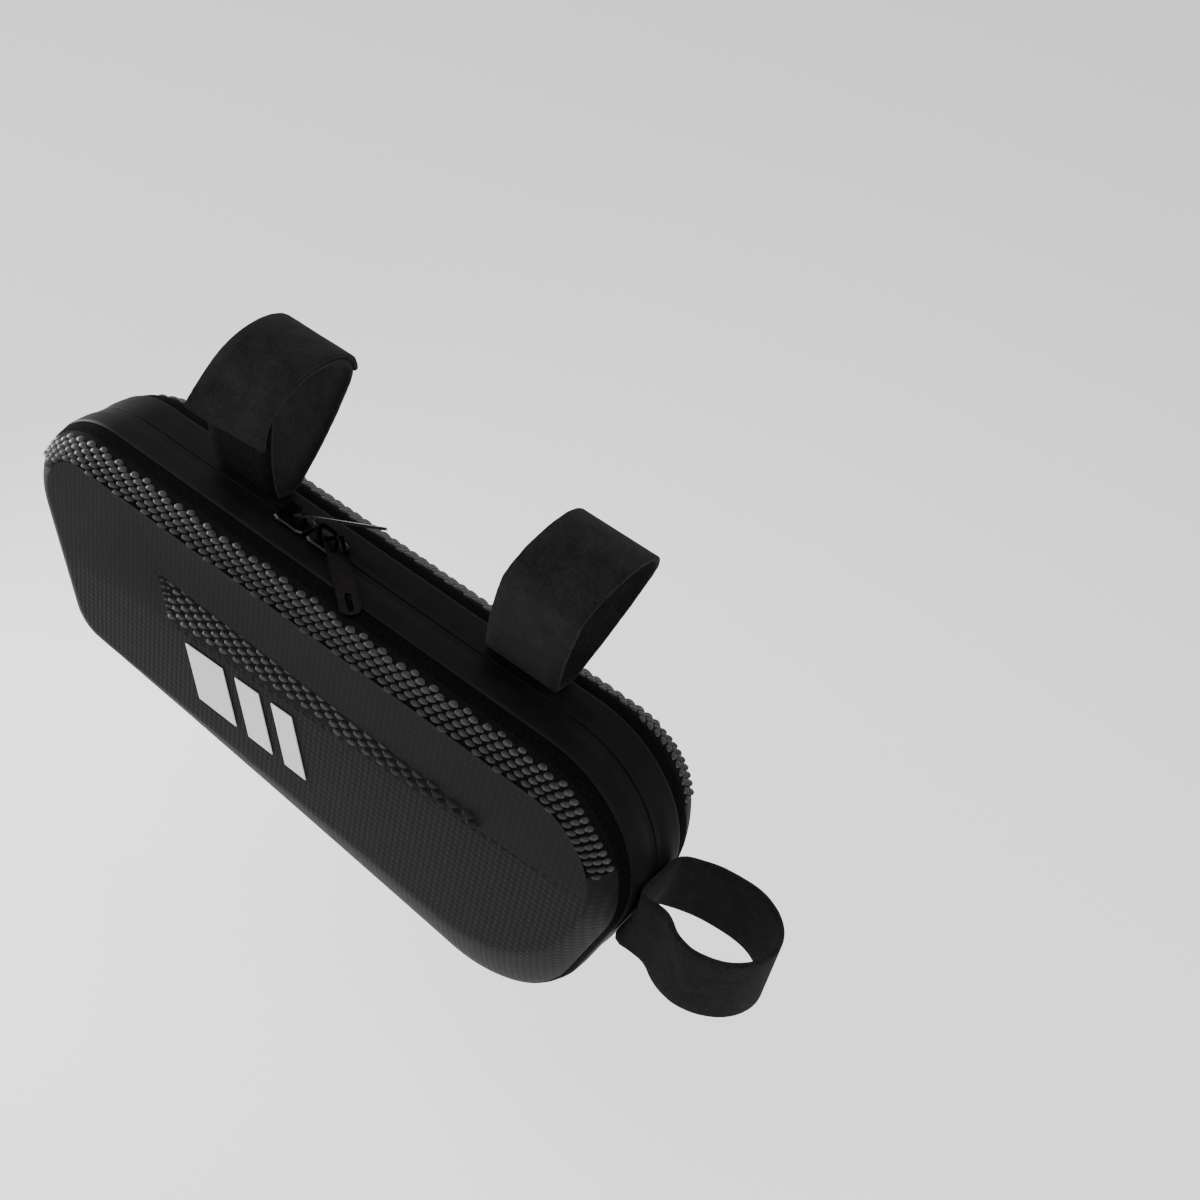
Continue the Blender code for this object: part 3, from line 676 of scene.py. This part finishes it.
def sunk_cell(place, facing, size, rise):
    """One cell, with its middle set below the surface."""
    return place - facing * (CELL_SINK * CELL_HEIGHT * rise), facing, size, rise


print("cells every", CELL_PITCH, "m")

# %% [markdown]
# ## Cells on the bevel
# The bevel bends round two corners, so a flat lattice has to be wrapped on it. Turned rigidly with the
# bag's corner, its rows would fan out. The corner is laid flat as part of a cone instead, so that the
# cells keep their spacing and nearly their direction.

# %% Lattice laid along the bevel
CONE_SHARE = 0.5  # how much of each corner's turn is left when the bevel is laid flat
CORNER_PULL = (0.93, 0.10)  # round the rear corner the net is gathered along the rim, drawn wider
PULL_RUN = 0.02  # length over which it is drawn
NET_MARGIN = 0.0011  # between the bound edge and the middles of the first cells


def unrolled(steps, middles, width):
    """Lattice places along and down the bevel: the lattice keeps its direction round both corners."""
    top = max(point.y for point in middles)
    level_points = [k for k, point in enumerate(middles) if point.y > top - 1e-6]
    front_run = sum(steps[:level_points[0]])
    rear_start = sum(steps[:level_points[-1]])
    length = sum(steps)
    straight = rear_start - front_run
    front_radius = front_run / (radians(NET_ENDS[1] - 90) * CONE_SHARE)
    rear_radius = (length - rear_start) / (radians(90 - NET_ENDS[0]) * CONE_SHARE)
    low = (-front_radius - width, 0.0)
    high = (straight + rear_radius + width, rear_radius + width)
    places = []
    for u, v in lattice(low, high):
        if 0 <= u <= straight:
            s, t = front_run + u, v
        elif u > straight:
            outer = rear_radius + width / 2
            s = rear_start + rear_radius * atan2(u - straight, outer - v) * CORNER_PULL[0]
            t = outer - Vector((u - straight, outer - v)).length
            t *= 1 + CORNER_PULL[1] * min(1.0, (u - straight) / PULL_RUN)
        else:
            outer = front_radius + width / 2
            s = front_run - front_radius * atan2(-u, outer - v)
            t = outer - Vector((-u, outer - v)).length
        if 0 <= s <= length and NET_MARGIN <= t <= width:
            places.append((s, t))
    return places


# %% Places of the cells on the bevel
NET_EDGE = 0.15  # weight of the first and the last column that carries cells
EDGE_RUN = 0.0022  # beside the bound edge the cells are smaller and lower
EDGE_SIZE = 0.66
EDGE_RISE = 0.45
FACEWARD_FALL = 0.60  # loss of rise from the bound edge to the crease
END_RISE = 0.3  # rise where the net ends
REAR_SHRINK = 0.16  # loss of size towards the rear
REAR_RUN = 0.09
PROBE = 0.0004  # step that measures the slope under a cell


def net_run():
    """Columns of the pan that carry cells: rim point, face point and weight."""
    rim = rim_outline(0.0)
    face = face_outline(0.0)
    weights = net_weights(rim)
    k = next(k for k in range(len(rim)) if weights[k] > NET_EDGE and weights[k - 1] <= NET_EDGE)
    run = []
    while weights[k % len(rim)] > NET_EDGE:
        run.append((rim[k % len(rim)], face[k % len(rim)], weights[k % len(rim)]))
        k += 1
    return run


def bevel_cells(side):
    """Cells on the bevel: place, facing, size, rise."""
    run = net_run()
    middles = [item[0].lerp(item[1], 0.5) for item in run]
    steps = [(b - a).length for a, b in zip(middles[:-1], middles[1:])]
    rows = NET_ROWS[BINDING_ROWS + 1:-2]
    plain_rows = PLAIN_ROWS[BINDING_ROWS + 1:-2]
    pairs = zip(rows[:-1], rows[1:])
    drops = [((b[0] - a[0]) * BEVELS[0], (b[1] - a[1]) * (FACE_Y - RIM_Y)) for a, b in pairs]
    row_steps = [Vector(drop).length for drop in drops]

    def surface(s, t):
        k, share = walk(steps, s)
        a = run[k][0].lerp(run[k + 1][0], share)
        b = run[k][1].lerp(run[k + 1][1], share)
        r, row_share = walk(row_steps, t)
        net_row = Vector(rows[r]).lerp(Vector(rows[r + 1]), row_share)
        plain_row = Vector(plain_rows[r]).lerp(Vector(plain_rows[r + 1]), row_share)
        bevel, depth = plain_row.lerp(net_row, run[k][2] + (run[k + 1][2] - run[k][2]) * share)
        return pan_point(a, b, bevel, depth, side)

    cells = []
    length = sum(steps)
    width = sum(row_steps)
    for s, t in unrolled(steps, middles, width):
        low_s, low_t = min(s, length - PROBE), min(t, width - PROBE)
        place = surface(s, t)
        facing = (surface(low_s + PROBE, low_t) - surface(low_s, low_t)).cross(
            surface(low_s, low_t + PROBE) - surface(low_s, low_t))
        facing.normalize()
        if facing.y * side < 0:
            facing = -facing
        weight = run[walk(steps, s)[0]][2]
        edge = min(1.0, t / EDGE_RUN)
        rise = (1.0 - FACEWARD_FALL * t / width) * (END_RISE + (1 - END_RISE) * weight)
        rise *= EDGE_RISE + (1 - EDGE_RISE) * edge
        size = 1.0 - REAR_SHRINK * max(0.0, min(1.0, place.x / REAR_RUN))
        size *= EDGE_SIZE + (1 - EDGE_SIZE) * edge
        cells.append(sunk_cell(place, facing, size, rise))
    return cells


# %% [markdown]
# ## Cells in the strip
# The strip's cells stand in a slanted lattice of their own. Its two steps are set directly, because no
# turn of the bevel's honeycomb matches it. The short slope at the front end gets two smaller columns.

# %% Places of the cells in the strip
STRIP_STEPS = (Vector((0.00413, -0.00268)), Vector((0.00249, 0.0020)))
STRIP_REACH = range(-60, 61)
STRIP_MARGIN = 0.0008
STRIP_SIZE = 1.12
STRIP_RISE = 0.9
STRIP_FADE = (0.07, 0.15)  # length over which the cells sink at the rear, and what is left of them
SLOPE_ROWS = 7
SLOPE_PITCH = 0.0024
SLOPE_SHARES = (0.25, 0.75)
SLOPE_SIZE = 0.50


def strip_cells(side):
    """Cells on the floor of the strip."""
    loop, sunk = strip_points()
    (front, top), (rear, rear_top), _, (low_front, _) = loop
    floor_front = sunk[0][0]
    facing = Vector((0, side, STRIP_DEPTH / STRIP_HEIGHTS[0])).normalized()
    cells = []
    for s, t in [STRIP_STEPS[0] * i + STRIP_STEPS[1] * j for i in STRIP_REACH for j in STRIP_REACH]:
        x = floor_front + s
        share = (x - front) / (rear - front)
        height = STRIP_HEIGHTS[0] + (STRIP_HEIGHTS[1] - STRIP_HEIGHTS[0]) * share
        slant = (low_front - floor_front) * t / STRIP_HEIGHTS[0]
        if not 0 <= s <= rear - floor_front or t > height - STRIP_MARGIN or t < STRIP_MARGIN * 0.4:
            continue
        if x < floor_front + slant + STRIP_MARGIN:
            continue
        depth = STRIP_DEPTH * (height - t) / STRIP_HEIGHTS[0]
        place = Vector((x, side * (FACE_Y - depth), top + (rear_top - top) * share - t))
        fade = min(1.0, (rear - x) / STRIP_FADE[0] + STRIP_FADE[1])
        cells.append(sunk_cell(place, facing, STRIP_SIZE, STRIP_RISE * fade))
    return cells


def slope_cells(side):
    """Cells on the sloping front end of the strip."""
    loop, sunk = strip_points()
    (front, top), (low_front, _) = loop[0], loop[3]
    facing = Vector((STRIP_DEPTH, side * STRIP_END_SLOPE, 0)).normalized()
    cells = []
    for row in range(SLOPE_ROWS):
        t = STRIP_MARGIN + row * SLOPE_PITCH
        height_share = 1 - t / STRIP_HEIGHTS[0]
        start = front + (low_front - front) * t / STRIP_HEIGHTS[0]
        run = (sunk[0][0] - front) * height_share
        for share in SLOPE_SHARES:
            depth = STRIP_DEPTH * height_share * share
            place = Vector((start + run * share, side * (FACE_Y - depth), top - t))
            cells.append(sunk_cell(place, facing, SLOPE_SIZE, STRIP_RISE))
    return cells


# %% [markdown]
# ## Node tree of the cells
# Instances are cheap: one ball is flattened to a dome, and each point places, turns and scales it. At
# the end they are made real and painted, and kept as a plain mesh, so that no modifier is left.

# %% Node tree of the cells
DOME_BASE = 0.25  # height of the dome's flat base, in radii of the ball
TREE_INPUTS = (("Geometry", "Geometry"), ("Cell Radius", "Float"), ("Cell Height", "Float"),
               ("Unevenness", "Float"), ("Seed", "Int"), ("Material", "Material"))


def point_mesh(name, cells):
    """Single points with the named attributes that the node tree reads."""
    data = bpy.data.meshes.new(name)
    data.from_pydata([cell[0] for cell in cells], [], [])
    facing = data.attributes.new("facing", "FLOAT_VECTOR", "POINT")
    size = data.attributes.new("size", "FLOAT", "POINT")
    rise_value = data.attributes.new("rise", "FLOAT", "POINT")
    for k, cell in enumerate(cells):
        facing.data[k].vector = cell[1]
        size.data[k].value = cell[2]
        rise_value.data[k].value = cell[3]
    return data


def cell_tree():
    """Geometry nodes: a low dome with a flat base on each point, realized and given its material."""
    tree = bpy.data.node_groups.new("raised_cells", "GeometryNodeTree")
    for name, kind in TREE_INPUTS:
        tree.interface.new_socket(name=name, in_out="INPUT", socket_type="NodeSocket" + kind)
    tree.interface.new_socket(name="Geometry", in_out="OUTPUT", socket_type="NodeSocketGeometry")

    def node(kind, inputs, **settings):
        return add_node(tree, kind, inputs, **settings)

    def math(operation, a, b):
        return node("ShaderNodeMath", {0: a, 1: b}, operation=operation)[0]

    def named(name, kind):
        return node("GeometryNodeInputNamedAttribute", {"Name": name}, data_type=kind)[0]

    given = node("NodeGroupInput", {})
    ball = node("GeometryNodeMeshUVSphere", {"Segments": 12, "Rings": 10})
    parts = node("ShaderNodeSeparateXYZ", {0: node("GeometryNodeInputPosition", {})[0]})
    flattened = node("ShaderNodeCombineXYZ", {
        "X": parts["X"], "Y": parts["Y"], "Z": math("MAXIMUM", parts["Z"], DOME_BASE)})
    dome = node("GeometryNodeSetPosition", {"Geometry": ball["Mesh"], "Position": flattened[0]})
    smooth = node("GeometryNodeSetShadeSmooth", {"Geometry": dome["Geometry"]})
    turn = node("FunctionNodeAlignRotationToVector", {"Vector": named("facing", "FLOAT_VECTOR")}, axis="Z")
    least = math("SUBTRACT", 1.0, given["Unevenness"])
    chance = node("FunctionNodeRandomValue", {2: least, 3: 1.0, "Seed": given["Seed"]}, data_type="FLOAT")
    wide = math("MULTIPLY", math("MULTIPLY", given["Cell Radius"], named("size", "FLOAT")), chance[1])
    tall = math("MULTIPLY", given["Cell Height"], named("rise", "FLOAT"))
    scale = node("ShaderNodeCombineXYZ", {"X": wide, "Y": wide, "Z": tall})
    placed = node("GeometryNodeInstanceOnPoints", {
        "Points": given["Geometry"], "Instance": smooth["Geometry"], "Rotation": turn["Rotation"],
        "Scale": scale["Vector"]})
    real = node("GeometryNodeRealizeInstances", {"Geometry": placed["Instances"]})
    painted = node("GeometryNodeSetMaterial", {"Geometry": real["Geometry"], "Material": given["Material"]})
    node("NodeGroupOutput", {"Geometry": painted["Geometry"]})
    return tree


tree = cell_tree()
print(len(tree.nodes), "nodes")

# %% Both nets


def grow_cells(name, cells, tree, values):
    """Run the node tree on the points and keep its result as a plain mesh."""
    holder = link_mesh(name + "_points", point_mesh(name + "_points", cells))
    modifier = holder.modifiers.new("cells", "NODES")
    modifier.node_group = tree
    for item in tree.interface.items_tree:
        if item.item_type == "SOCKET" and item.in_out == "INPUT" and item.name in values:
            modifier[item.identifier] = values[item.name]
    graph = bpy.context.evaluated_depsgraph_get()
    data = bpy.data.meshes.new_from_object(holder.evaluated_get(graph))
    holder.modifiers.clear()
    bpy.data.objects.remove(holder)
    data.name = name
    thing = link_mesh(name, data)
    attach(thing, BAG)
    return thing


for side_name, side in SIDES:
    cells = bevel_cells(side) + strip_cells(side) + slope_cells(side)
    net = grow_cells(side_name + "_net", cells, tree, {
        "Cell Radius": 0.00228, "Cell Height": CELL_HEIGHT, "Unevenness": 0.04, "Seed": 7,
        "Material": shell_knob})
    print(net.name, len(cells), "cells,", len(net.data.polygons), "faces")

# %% [markdown]
# ## Band and zip
# The coated cloth rolls over at each pan and runs smoothly to the zip, whose two lips meet in a fine
# groove. The band is held all round, so one section swept along the outline gives its shape without
# a cloth simulation.

# %% Band and zip
BAND_ROWS = (  # inset from the rim in metres, and depth in millimetres
    (0.0017, 13.55), (0.0004, 13.55), (-0.00025, 13.35), (-0.0006, 12.9), (-0.00078, 12.2), (-0.00080, 11.4),
    (-0.00082, 10.4), (-0.00090, 9.0), (-0.00096, 7.4), (-0.00092, 5.8), (-0.00080, 4.6), (-0.00066, 3.7),
    (-0.00056, 3.2), (-0.00050, 2.93), (0.0018, 2.93))
LIPS = (  # share of half the zip's width, and share of the lips' rise
    (-1.0, 0.8), (-0.7, 0.78), (-0.4, 0.86), (-0.16, 0.86), (-0.08, 0.4), (-0.05, -0.9), (0.05, -0.9),
    (0.08, 0.4), (0.16, 0.86), (0.4, 0.86), (0.7, 0.78), (1.0, 0.8))
LIP_RISE = 0.0006
LIP_INSET = 0.0014
ZIP_HALF = 0.0029


def belt(name, section, material):
    """Closed belt round the bag. Each row of the section is an inset and a depth."""
    mesh = bmesh.new()
    rings = [add_ring(mesh, rim_outline(inset), y) for inset, y in section]
    for k, ring in enumerate(rings):
        join_rings(mesh, ring, rings[(k + 1) % len(rings)])
    return finish_mesh(name, mesh, [material])


for side_name, side in SIDES:
    cloth = belt(side_name + "_band_cloth", [(inset, side * y / 1000) for inset, y in BAND_ROWS], coated)
    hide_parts(side_name + "_piping", side_name + "_band")
    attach(cloth, BAG)

lip_section = [(-LIP_RISE * crown, ZIP_HALF * share) for share, crown in LIPS]
zip_tape = belt("zip_lips", lip_section + [(LIP_INSET, ZIP_HALF), (LIP_INSET, -ZIP_HALF)], coated)
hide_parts("zip")
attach(zip_tape, BAG)
print("band", round(2 * BAND_ROWS[0][1], 1), "mm across")

# %% [markdown]
# ## Webbing loops
# Each loop is a strip of hook-and-loop tape, closed round a tube. A curve with a bevel could follow its
# path. A section swept by hand can also let its edges wander a little, as real tape does.

# %% Webbing
WEBBING = 0.030
THICK = 0.0020
SECTION = (  # share of half the width, and share of the thickness
    (-1.0, 0.5), (-0.988, 0.12), (-0.955, 0.0), (-0.7, 0.0), (-0.35, 0.0), (0.0, 0.0), (0.35, 0.0),
    (0.7, 0.0), (0.955, 0.0), (0.988, 0.12), (1.0, 0.5), (0.988, 0.88), (0.955, 1.0), (0.7, 1.0),
    (0.35, 1.0), (0.0, 1.0), (-0.35, 1.0), (-0.7, 1.0), (-0.955, 1.0), (-0.988, 0.88))
EDGE_WAVES = 260  # per metre
EDGE_WANDER = 0.012
FOOT = (0.0040, 0.0120)  # near and far end of a top loop's foot
FOOT_DROP = 0.049


def smooth_closed(points):
    """Corner-cut a closed path twice."""
    for _ in range(2):
        cut = []
        for k, point in enumerate(points):
            after = points[(k + 1) % len(points)]
            cut += [point.lerp(after, 0.25), point.lerp(after, 0.75)]
        points = cut
    return points


def path_normals(points):
    """Outward normals of a closed flat path that runs anticlockwise."""
    normals = []
    for k, point in enumerate(points):
        way = points[(k + 1) % len(points)] - points[k - 1]
        normals.append(Vector((way.y, -way.x)).normalized())
    return normals


def ribbon(name, points, place, thickness, materials, hooked_with_shade=False):
    """Webbing along a closed path: a rounded section swept round it, with slightly uneven edges."""
    normals = path_normals(points)
    mesh = bmesh.new()
    rings = []
    for k, (point, normal) in enumerate(zip(points, normals)):
        ring = []
        for level, depth in SECTION:
            wander = noise.noise(Vector((point.x * EDGE_WAVES, point.y * EDGE_WAVES, 5.0 + level)))
            ragged = wander * EDGE_WANDER * abs(level) ** 6
            ring.append(mesh.verts.new(place(point + normal * (thickness * depth), level * (1 + ragged))))
        rings.append(ring)
    for k, ring in enumerate(rings):
        made = join_rings(mesh, ring, rings[(k + 1) % len(rings)])
        near_branch = points[k].x < FOOT[0] * min(1.0, -points[k].y / FOOT_DROP) and points[k].y < 0
        for quad, (_, depth) in zip(made, SECTION):
            # The near branch's outer face takes the darker hook tape: real hook tape, darkened as painted
            # shade under the flap and the tube.
            if hooked_with_shade and near_branch and depth >= 0.5:
                quad.material_index = 1
    return finish_mesh(name, mesh, materials, 50.0)


# %% Top loops
TUBE_RADIUS = 0.0161
TUBE_STEPS = 24
STRAP_LEAN = 0.287
SPACING = 0.455 * BAG_LENGTH
BRANCH_BOW = 0.0016
FOOT_LIFT = 0.0012  # of the foot over the top of the rim, where the band is crowned


def branch(low, high, bow):
    """Bowed branch between the foot and the tube."""
    points = []
    for share in (0.12, 0.3, 0.5, 0.7, 0.88):
        points.append(low.lerp(high, share) + Vector((bow * sin(pi * share), 0)))
    return points


def top_path():
    """Inner side of a top loop in the YZ plane."""
    foot_z = TOP_Z + FOOT_LIFT + THICK
    near = Vector((FOOT[0], foot_z))
    far = Vector((FOOT[1], foot_z))
    points = [near, near.lerp(far, 0.5), far]
    points += branch(far, Vector((TUBE_RADIUS, 0)), BRANCH_BOW)
    turns = [pi * k / TUBE_STEPS for k in range(TUBE_STEPS + 1)]
    points += [Vector((cos(turn), sin(turn))) * TUBE_RADIUS for turn in turns]
    points += reversed(branch(near, Vector((-TUBE_RADIUS, 0)), -BRANCH_BOW))
    return smooth_closed(points)


def on_tube(middle, point, level):
    """Place on a top loop, which leans rearward towards its top."""
    return (middle + point.y * STRAP_LEAN + level * WEBBING / 2, point.x, point.y)


def top_strap(name, node, middle, hooked_with_shade):
    """One top loop."""
    def place(point, level):
        return on_tube(middle, point, level)

    strap = ribbon(name, top_path(), place, THICK, [webbing, hooks_with_shade], hooked_with_shade)
    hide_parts(node)
    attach(strap, BAG)
    print(name, len(strap.data.polygons), "faces")


top_strap("front_strap", "front_top_strap", -SPACING / 2, True)
top_strap("rear_strap", "rear_top_strap", SPACING / 2, False)

# %% [markdown]
# ## Flap on the front loop
# The outer end of the tape is pressed over the front loop, and its front corner has come away. It isn't
# sewn down, so it is a closed piece of its own: a grid whose rows lie round the tube and then bend off
# it, further at one edge than at the other.

# %% Flap on the front loop
FLAP_THICK = 0.0018
FLAP_GAP = 0.0002
FLAP_TURNS = (radians(20), radians(150))
FLAP_ROUND = 0.66  # share of the flap that lies round the tube
FLAP_END = (  # share of half the width, then the end's place in the YZ plane
    (-1.0, -0.0232, -0.0096), (-0.5, -0.0202, -0.0123), (0.43, -0.0167, -0.0131), (1.0, -0.0142, -0.0151))
FLAP_BENDS = ((-0.0199, 0.0015), (-0.0186, -0.0015))
FLAP_STEPS = 36
FLAP_PROBE = 0.004
FLAP_FUZZ = 0.0002


def flap_point(share, level):
    """Inner face of the flap in the YZ plane: round the tube, then off it at the front corner."""
    turn = FLAP_TURNS[0] + (FLAP_TURNS[1] - FLAP_TURNS[0]) * min(1.0, share / FLAP_ROUND)
    start = Vector((cos(turn), sin(turn))) * (TUBE_RADIUS + THICK + FLAP_GAP)
    if share <= FLAP_ROUND:
        return start
    run = (share - FLAP_ROUND) / (1 - FLAP_ROUND)
    spans = zip(FLAP_END[:-1], FLAP_END[1:])
    low, high = next((a, b) for a, b in spans if level <= b[0] or b is FLAP_END[-1])
    part = (level - low[0]) / (high[0] - low[0])
    end = Vector(low[1:]).lerp(Vector(high[1:]), part)
    bend = Vector(FLAP_BENDS[0]).lerp(Vector(FLAP_BENDS[1]), (level + 1) / 2)
    return start * (1 - run) ** 2 + bend * (2 * run * (1 - run)) + end * run ** 2


def flap(name, middle):
    """Outer end of the webbing, closed over the loop: its front corner stands off a little."""
    mesh = bmesh.new()
    rings = []
    for k in range(FLAP_STEPS + 1):
        share = k / FLAP_STEPS
        before, after = max(0.0, share - FLAP_PROBE), min(1.0, share + FLAP_PROBE)
        ring = []
        for level, depth in SECTION:
            point = flap_point(share, level)
            way = flap_point(after, level) - flap_point(before, level)
            normal = Vector((way.y, -way.x)).normalized()
            fuzz = FLAP_FUZZ * noise.noise(Vector((level * 9, share * 30, depth)))
            point = point + normal * (FLAP_THICK * depth + fuzz * depth)
            ring.append(mesh.verts.new(on_tube(middle, point, level)))
        rings.append(ring)
    for ring_a, ring_b in zip(rings[:-1], rings[1:]):
        join_rings(mesh, ring_a, ring_b)
    mesh.faces.new(rings[0])
    mesh.faces.new(rings[-1])
    thing = finish_mesh(name, mesh, [webbing], 50.0)
    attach(thing, BAG)
    return thing


front_flap = flap("front_strap_flap", -SPACING / 2)
print("flap", len(front_flap.data.polygons), "faces")

# %% [markdown]
# ## Rear loop
# The rear loop goes round the seat tube. Its foot has to lie flat on the bag's sloping end, so the path
# is shifted, height by height, to where the end of the rim is.

# %% Rear loop
SEAT_Z = TOP_Z - 0.0500
SEAT_WIDTH = 0.027
SEAT_RADIUS = 0.0135
SEAT_RISE = 0.045
SEAT_GAP = 0.0012  # between the rim and the foot
SEAT_REACH = 0.0090  # from the foot to the tube
SEAT_SLACK = 0.0035
SEAT_END = 0.0170
FOOT_SHARE = 0.62  # half of the foot, as a share of half the loop
SEAT_STEPS = 18
NEAR_SIDE = ((0.25, -0.10), (0.5, 0.02), (0.75, 0.75), (1.0, 1.0))
FAR_SIDE = ((1.0, 1.0), (0.75, 0.95), (0.5, 0.8), (0.25, 0.45))


def rear_edge(z):
    """Rearmost point of the rim at a height."""
    points = rim_outline(0.0)
    best = -1.0
    for point, after in zip(points, points[1:] + points[:1]):
        if min(point.y, after.y) <= z <= max(point.y, after.y) and abs(after.y - point.y) > 1e-9:
            best = max(best, point.x + (after.x - point.x) * (z - point.y) / (after.y - point.y))
    return best


foot_edge = max(rear_edge(SEAT_Z + SEAT_WIDTH * share) for share in (-0.5, -0.25, 0, 0.25, 0.5))
foot_x = foot_edge + SEAT_GAP + THICK
tube_x = foot_x + SEAT_REACH + SEAT_RADIUS


def seat_path():
    """Inner side of the rear loop, seen from above."""
    half = SEAT_RADIUS + SEAT_SLACK
    foot_half = half * FOOT_SHARE
    points = [Vector((foot_x, foot_half)), Vector((foot_x, 0.0)), Vector((foot_x, -foot_half))]
    for share, swell in NEAR_SIDE:
        points.append(Vector((foot_x + (tube_x - foot_x) * share, -foot_half - (half - foot_half) * swell)))
    for k in range(1, SEAT_STEPS):
        turn = -pi / 2 + pi * k / SEAT_STEPS
        points.append(Vector((tube_x + (SEAT_END + half * 0.15) * cos(turn), half * sin(turn))))
    for share, swell in FAR_SIDE:
        points.append(Vector((foot_x + (tube_x - foot_x) * share, foot_half + (half - foot_half) * swell)))
    return smooth_closed(points)


def seat_place(point, level):
    """Point of the rear loop: its foot follows the bag's sloping end."""
    z = SEAT_Z + level * SEAT_WIDTH / 2
    follow = max(0.0, min(1.0, 1.0 - (point.x - foot_x) / (tube_x - foot_x)))
    shift = rear_edge(z) + SEAT_GAP + THICK - foot_x
    return (point.x + shift * follow, point.y, z + max(0.0, point.x - foot_x) * SEAT_RISE)


seat_strap = ribbon("seat_strap", seat_path(), seat_place, THICK, [webbing])
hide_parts("seat_tube_strap")
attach(seat_strap, BAG)
print("seat_strap", len(seat_strap.data.polygons), "faces")

# %% [markdown]
# ## Sliders, pulls and stripes
# The CAD sliders, pulls and stripes already have the shapes of the real ones, so they are kept. Real
# metal has no perfectly sharp edge: a Bevel modifier rounds each edge and gives it the bright metal,
# which paints the highlight that runs along the edges.

# %% Sliders, pulls and stripes
for node in ("front_slider", "rear_slider", "front_pull", "rear_pull"):
    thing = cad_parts[node]
    for slot in thing.material_slots:
        slot.material = gunmetal
    thing.data.materials.append(edge_highlight_metal)
    # The bevel's faces take the bright metal: a painted highlight along each edge.
    bevel = thing.modifiers.new("highlight_edge", "BEVEL")
    bevel.width = 0.00028
    bevel.segments = 2
    bevel.limit_method = "ANGLE"
    bevel.angle_limit = radians(35)
    bevel.material = len(thing.material_slots) - 1
for node in ("stripe_wide", "stripe_middle", "stripe_narrow"):
    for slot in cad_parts[node].material_slots:
        slot.material = film
# The bright edges are painted highlights.
print("worn edges", bevel.width, "m wide")
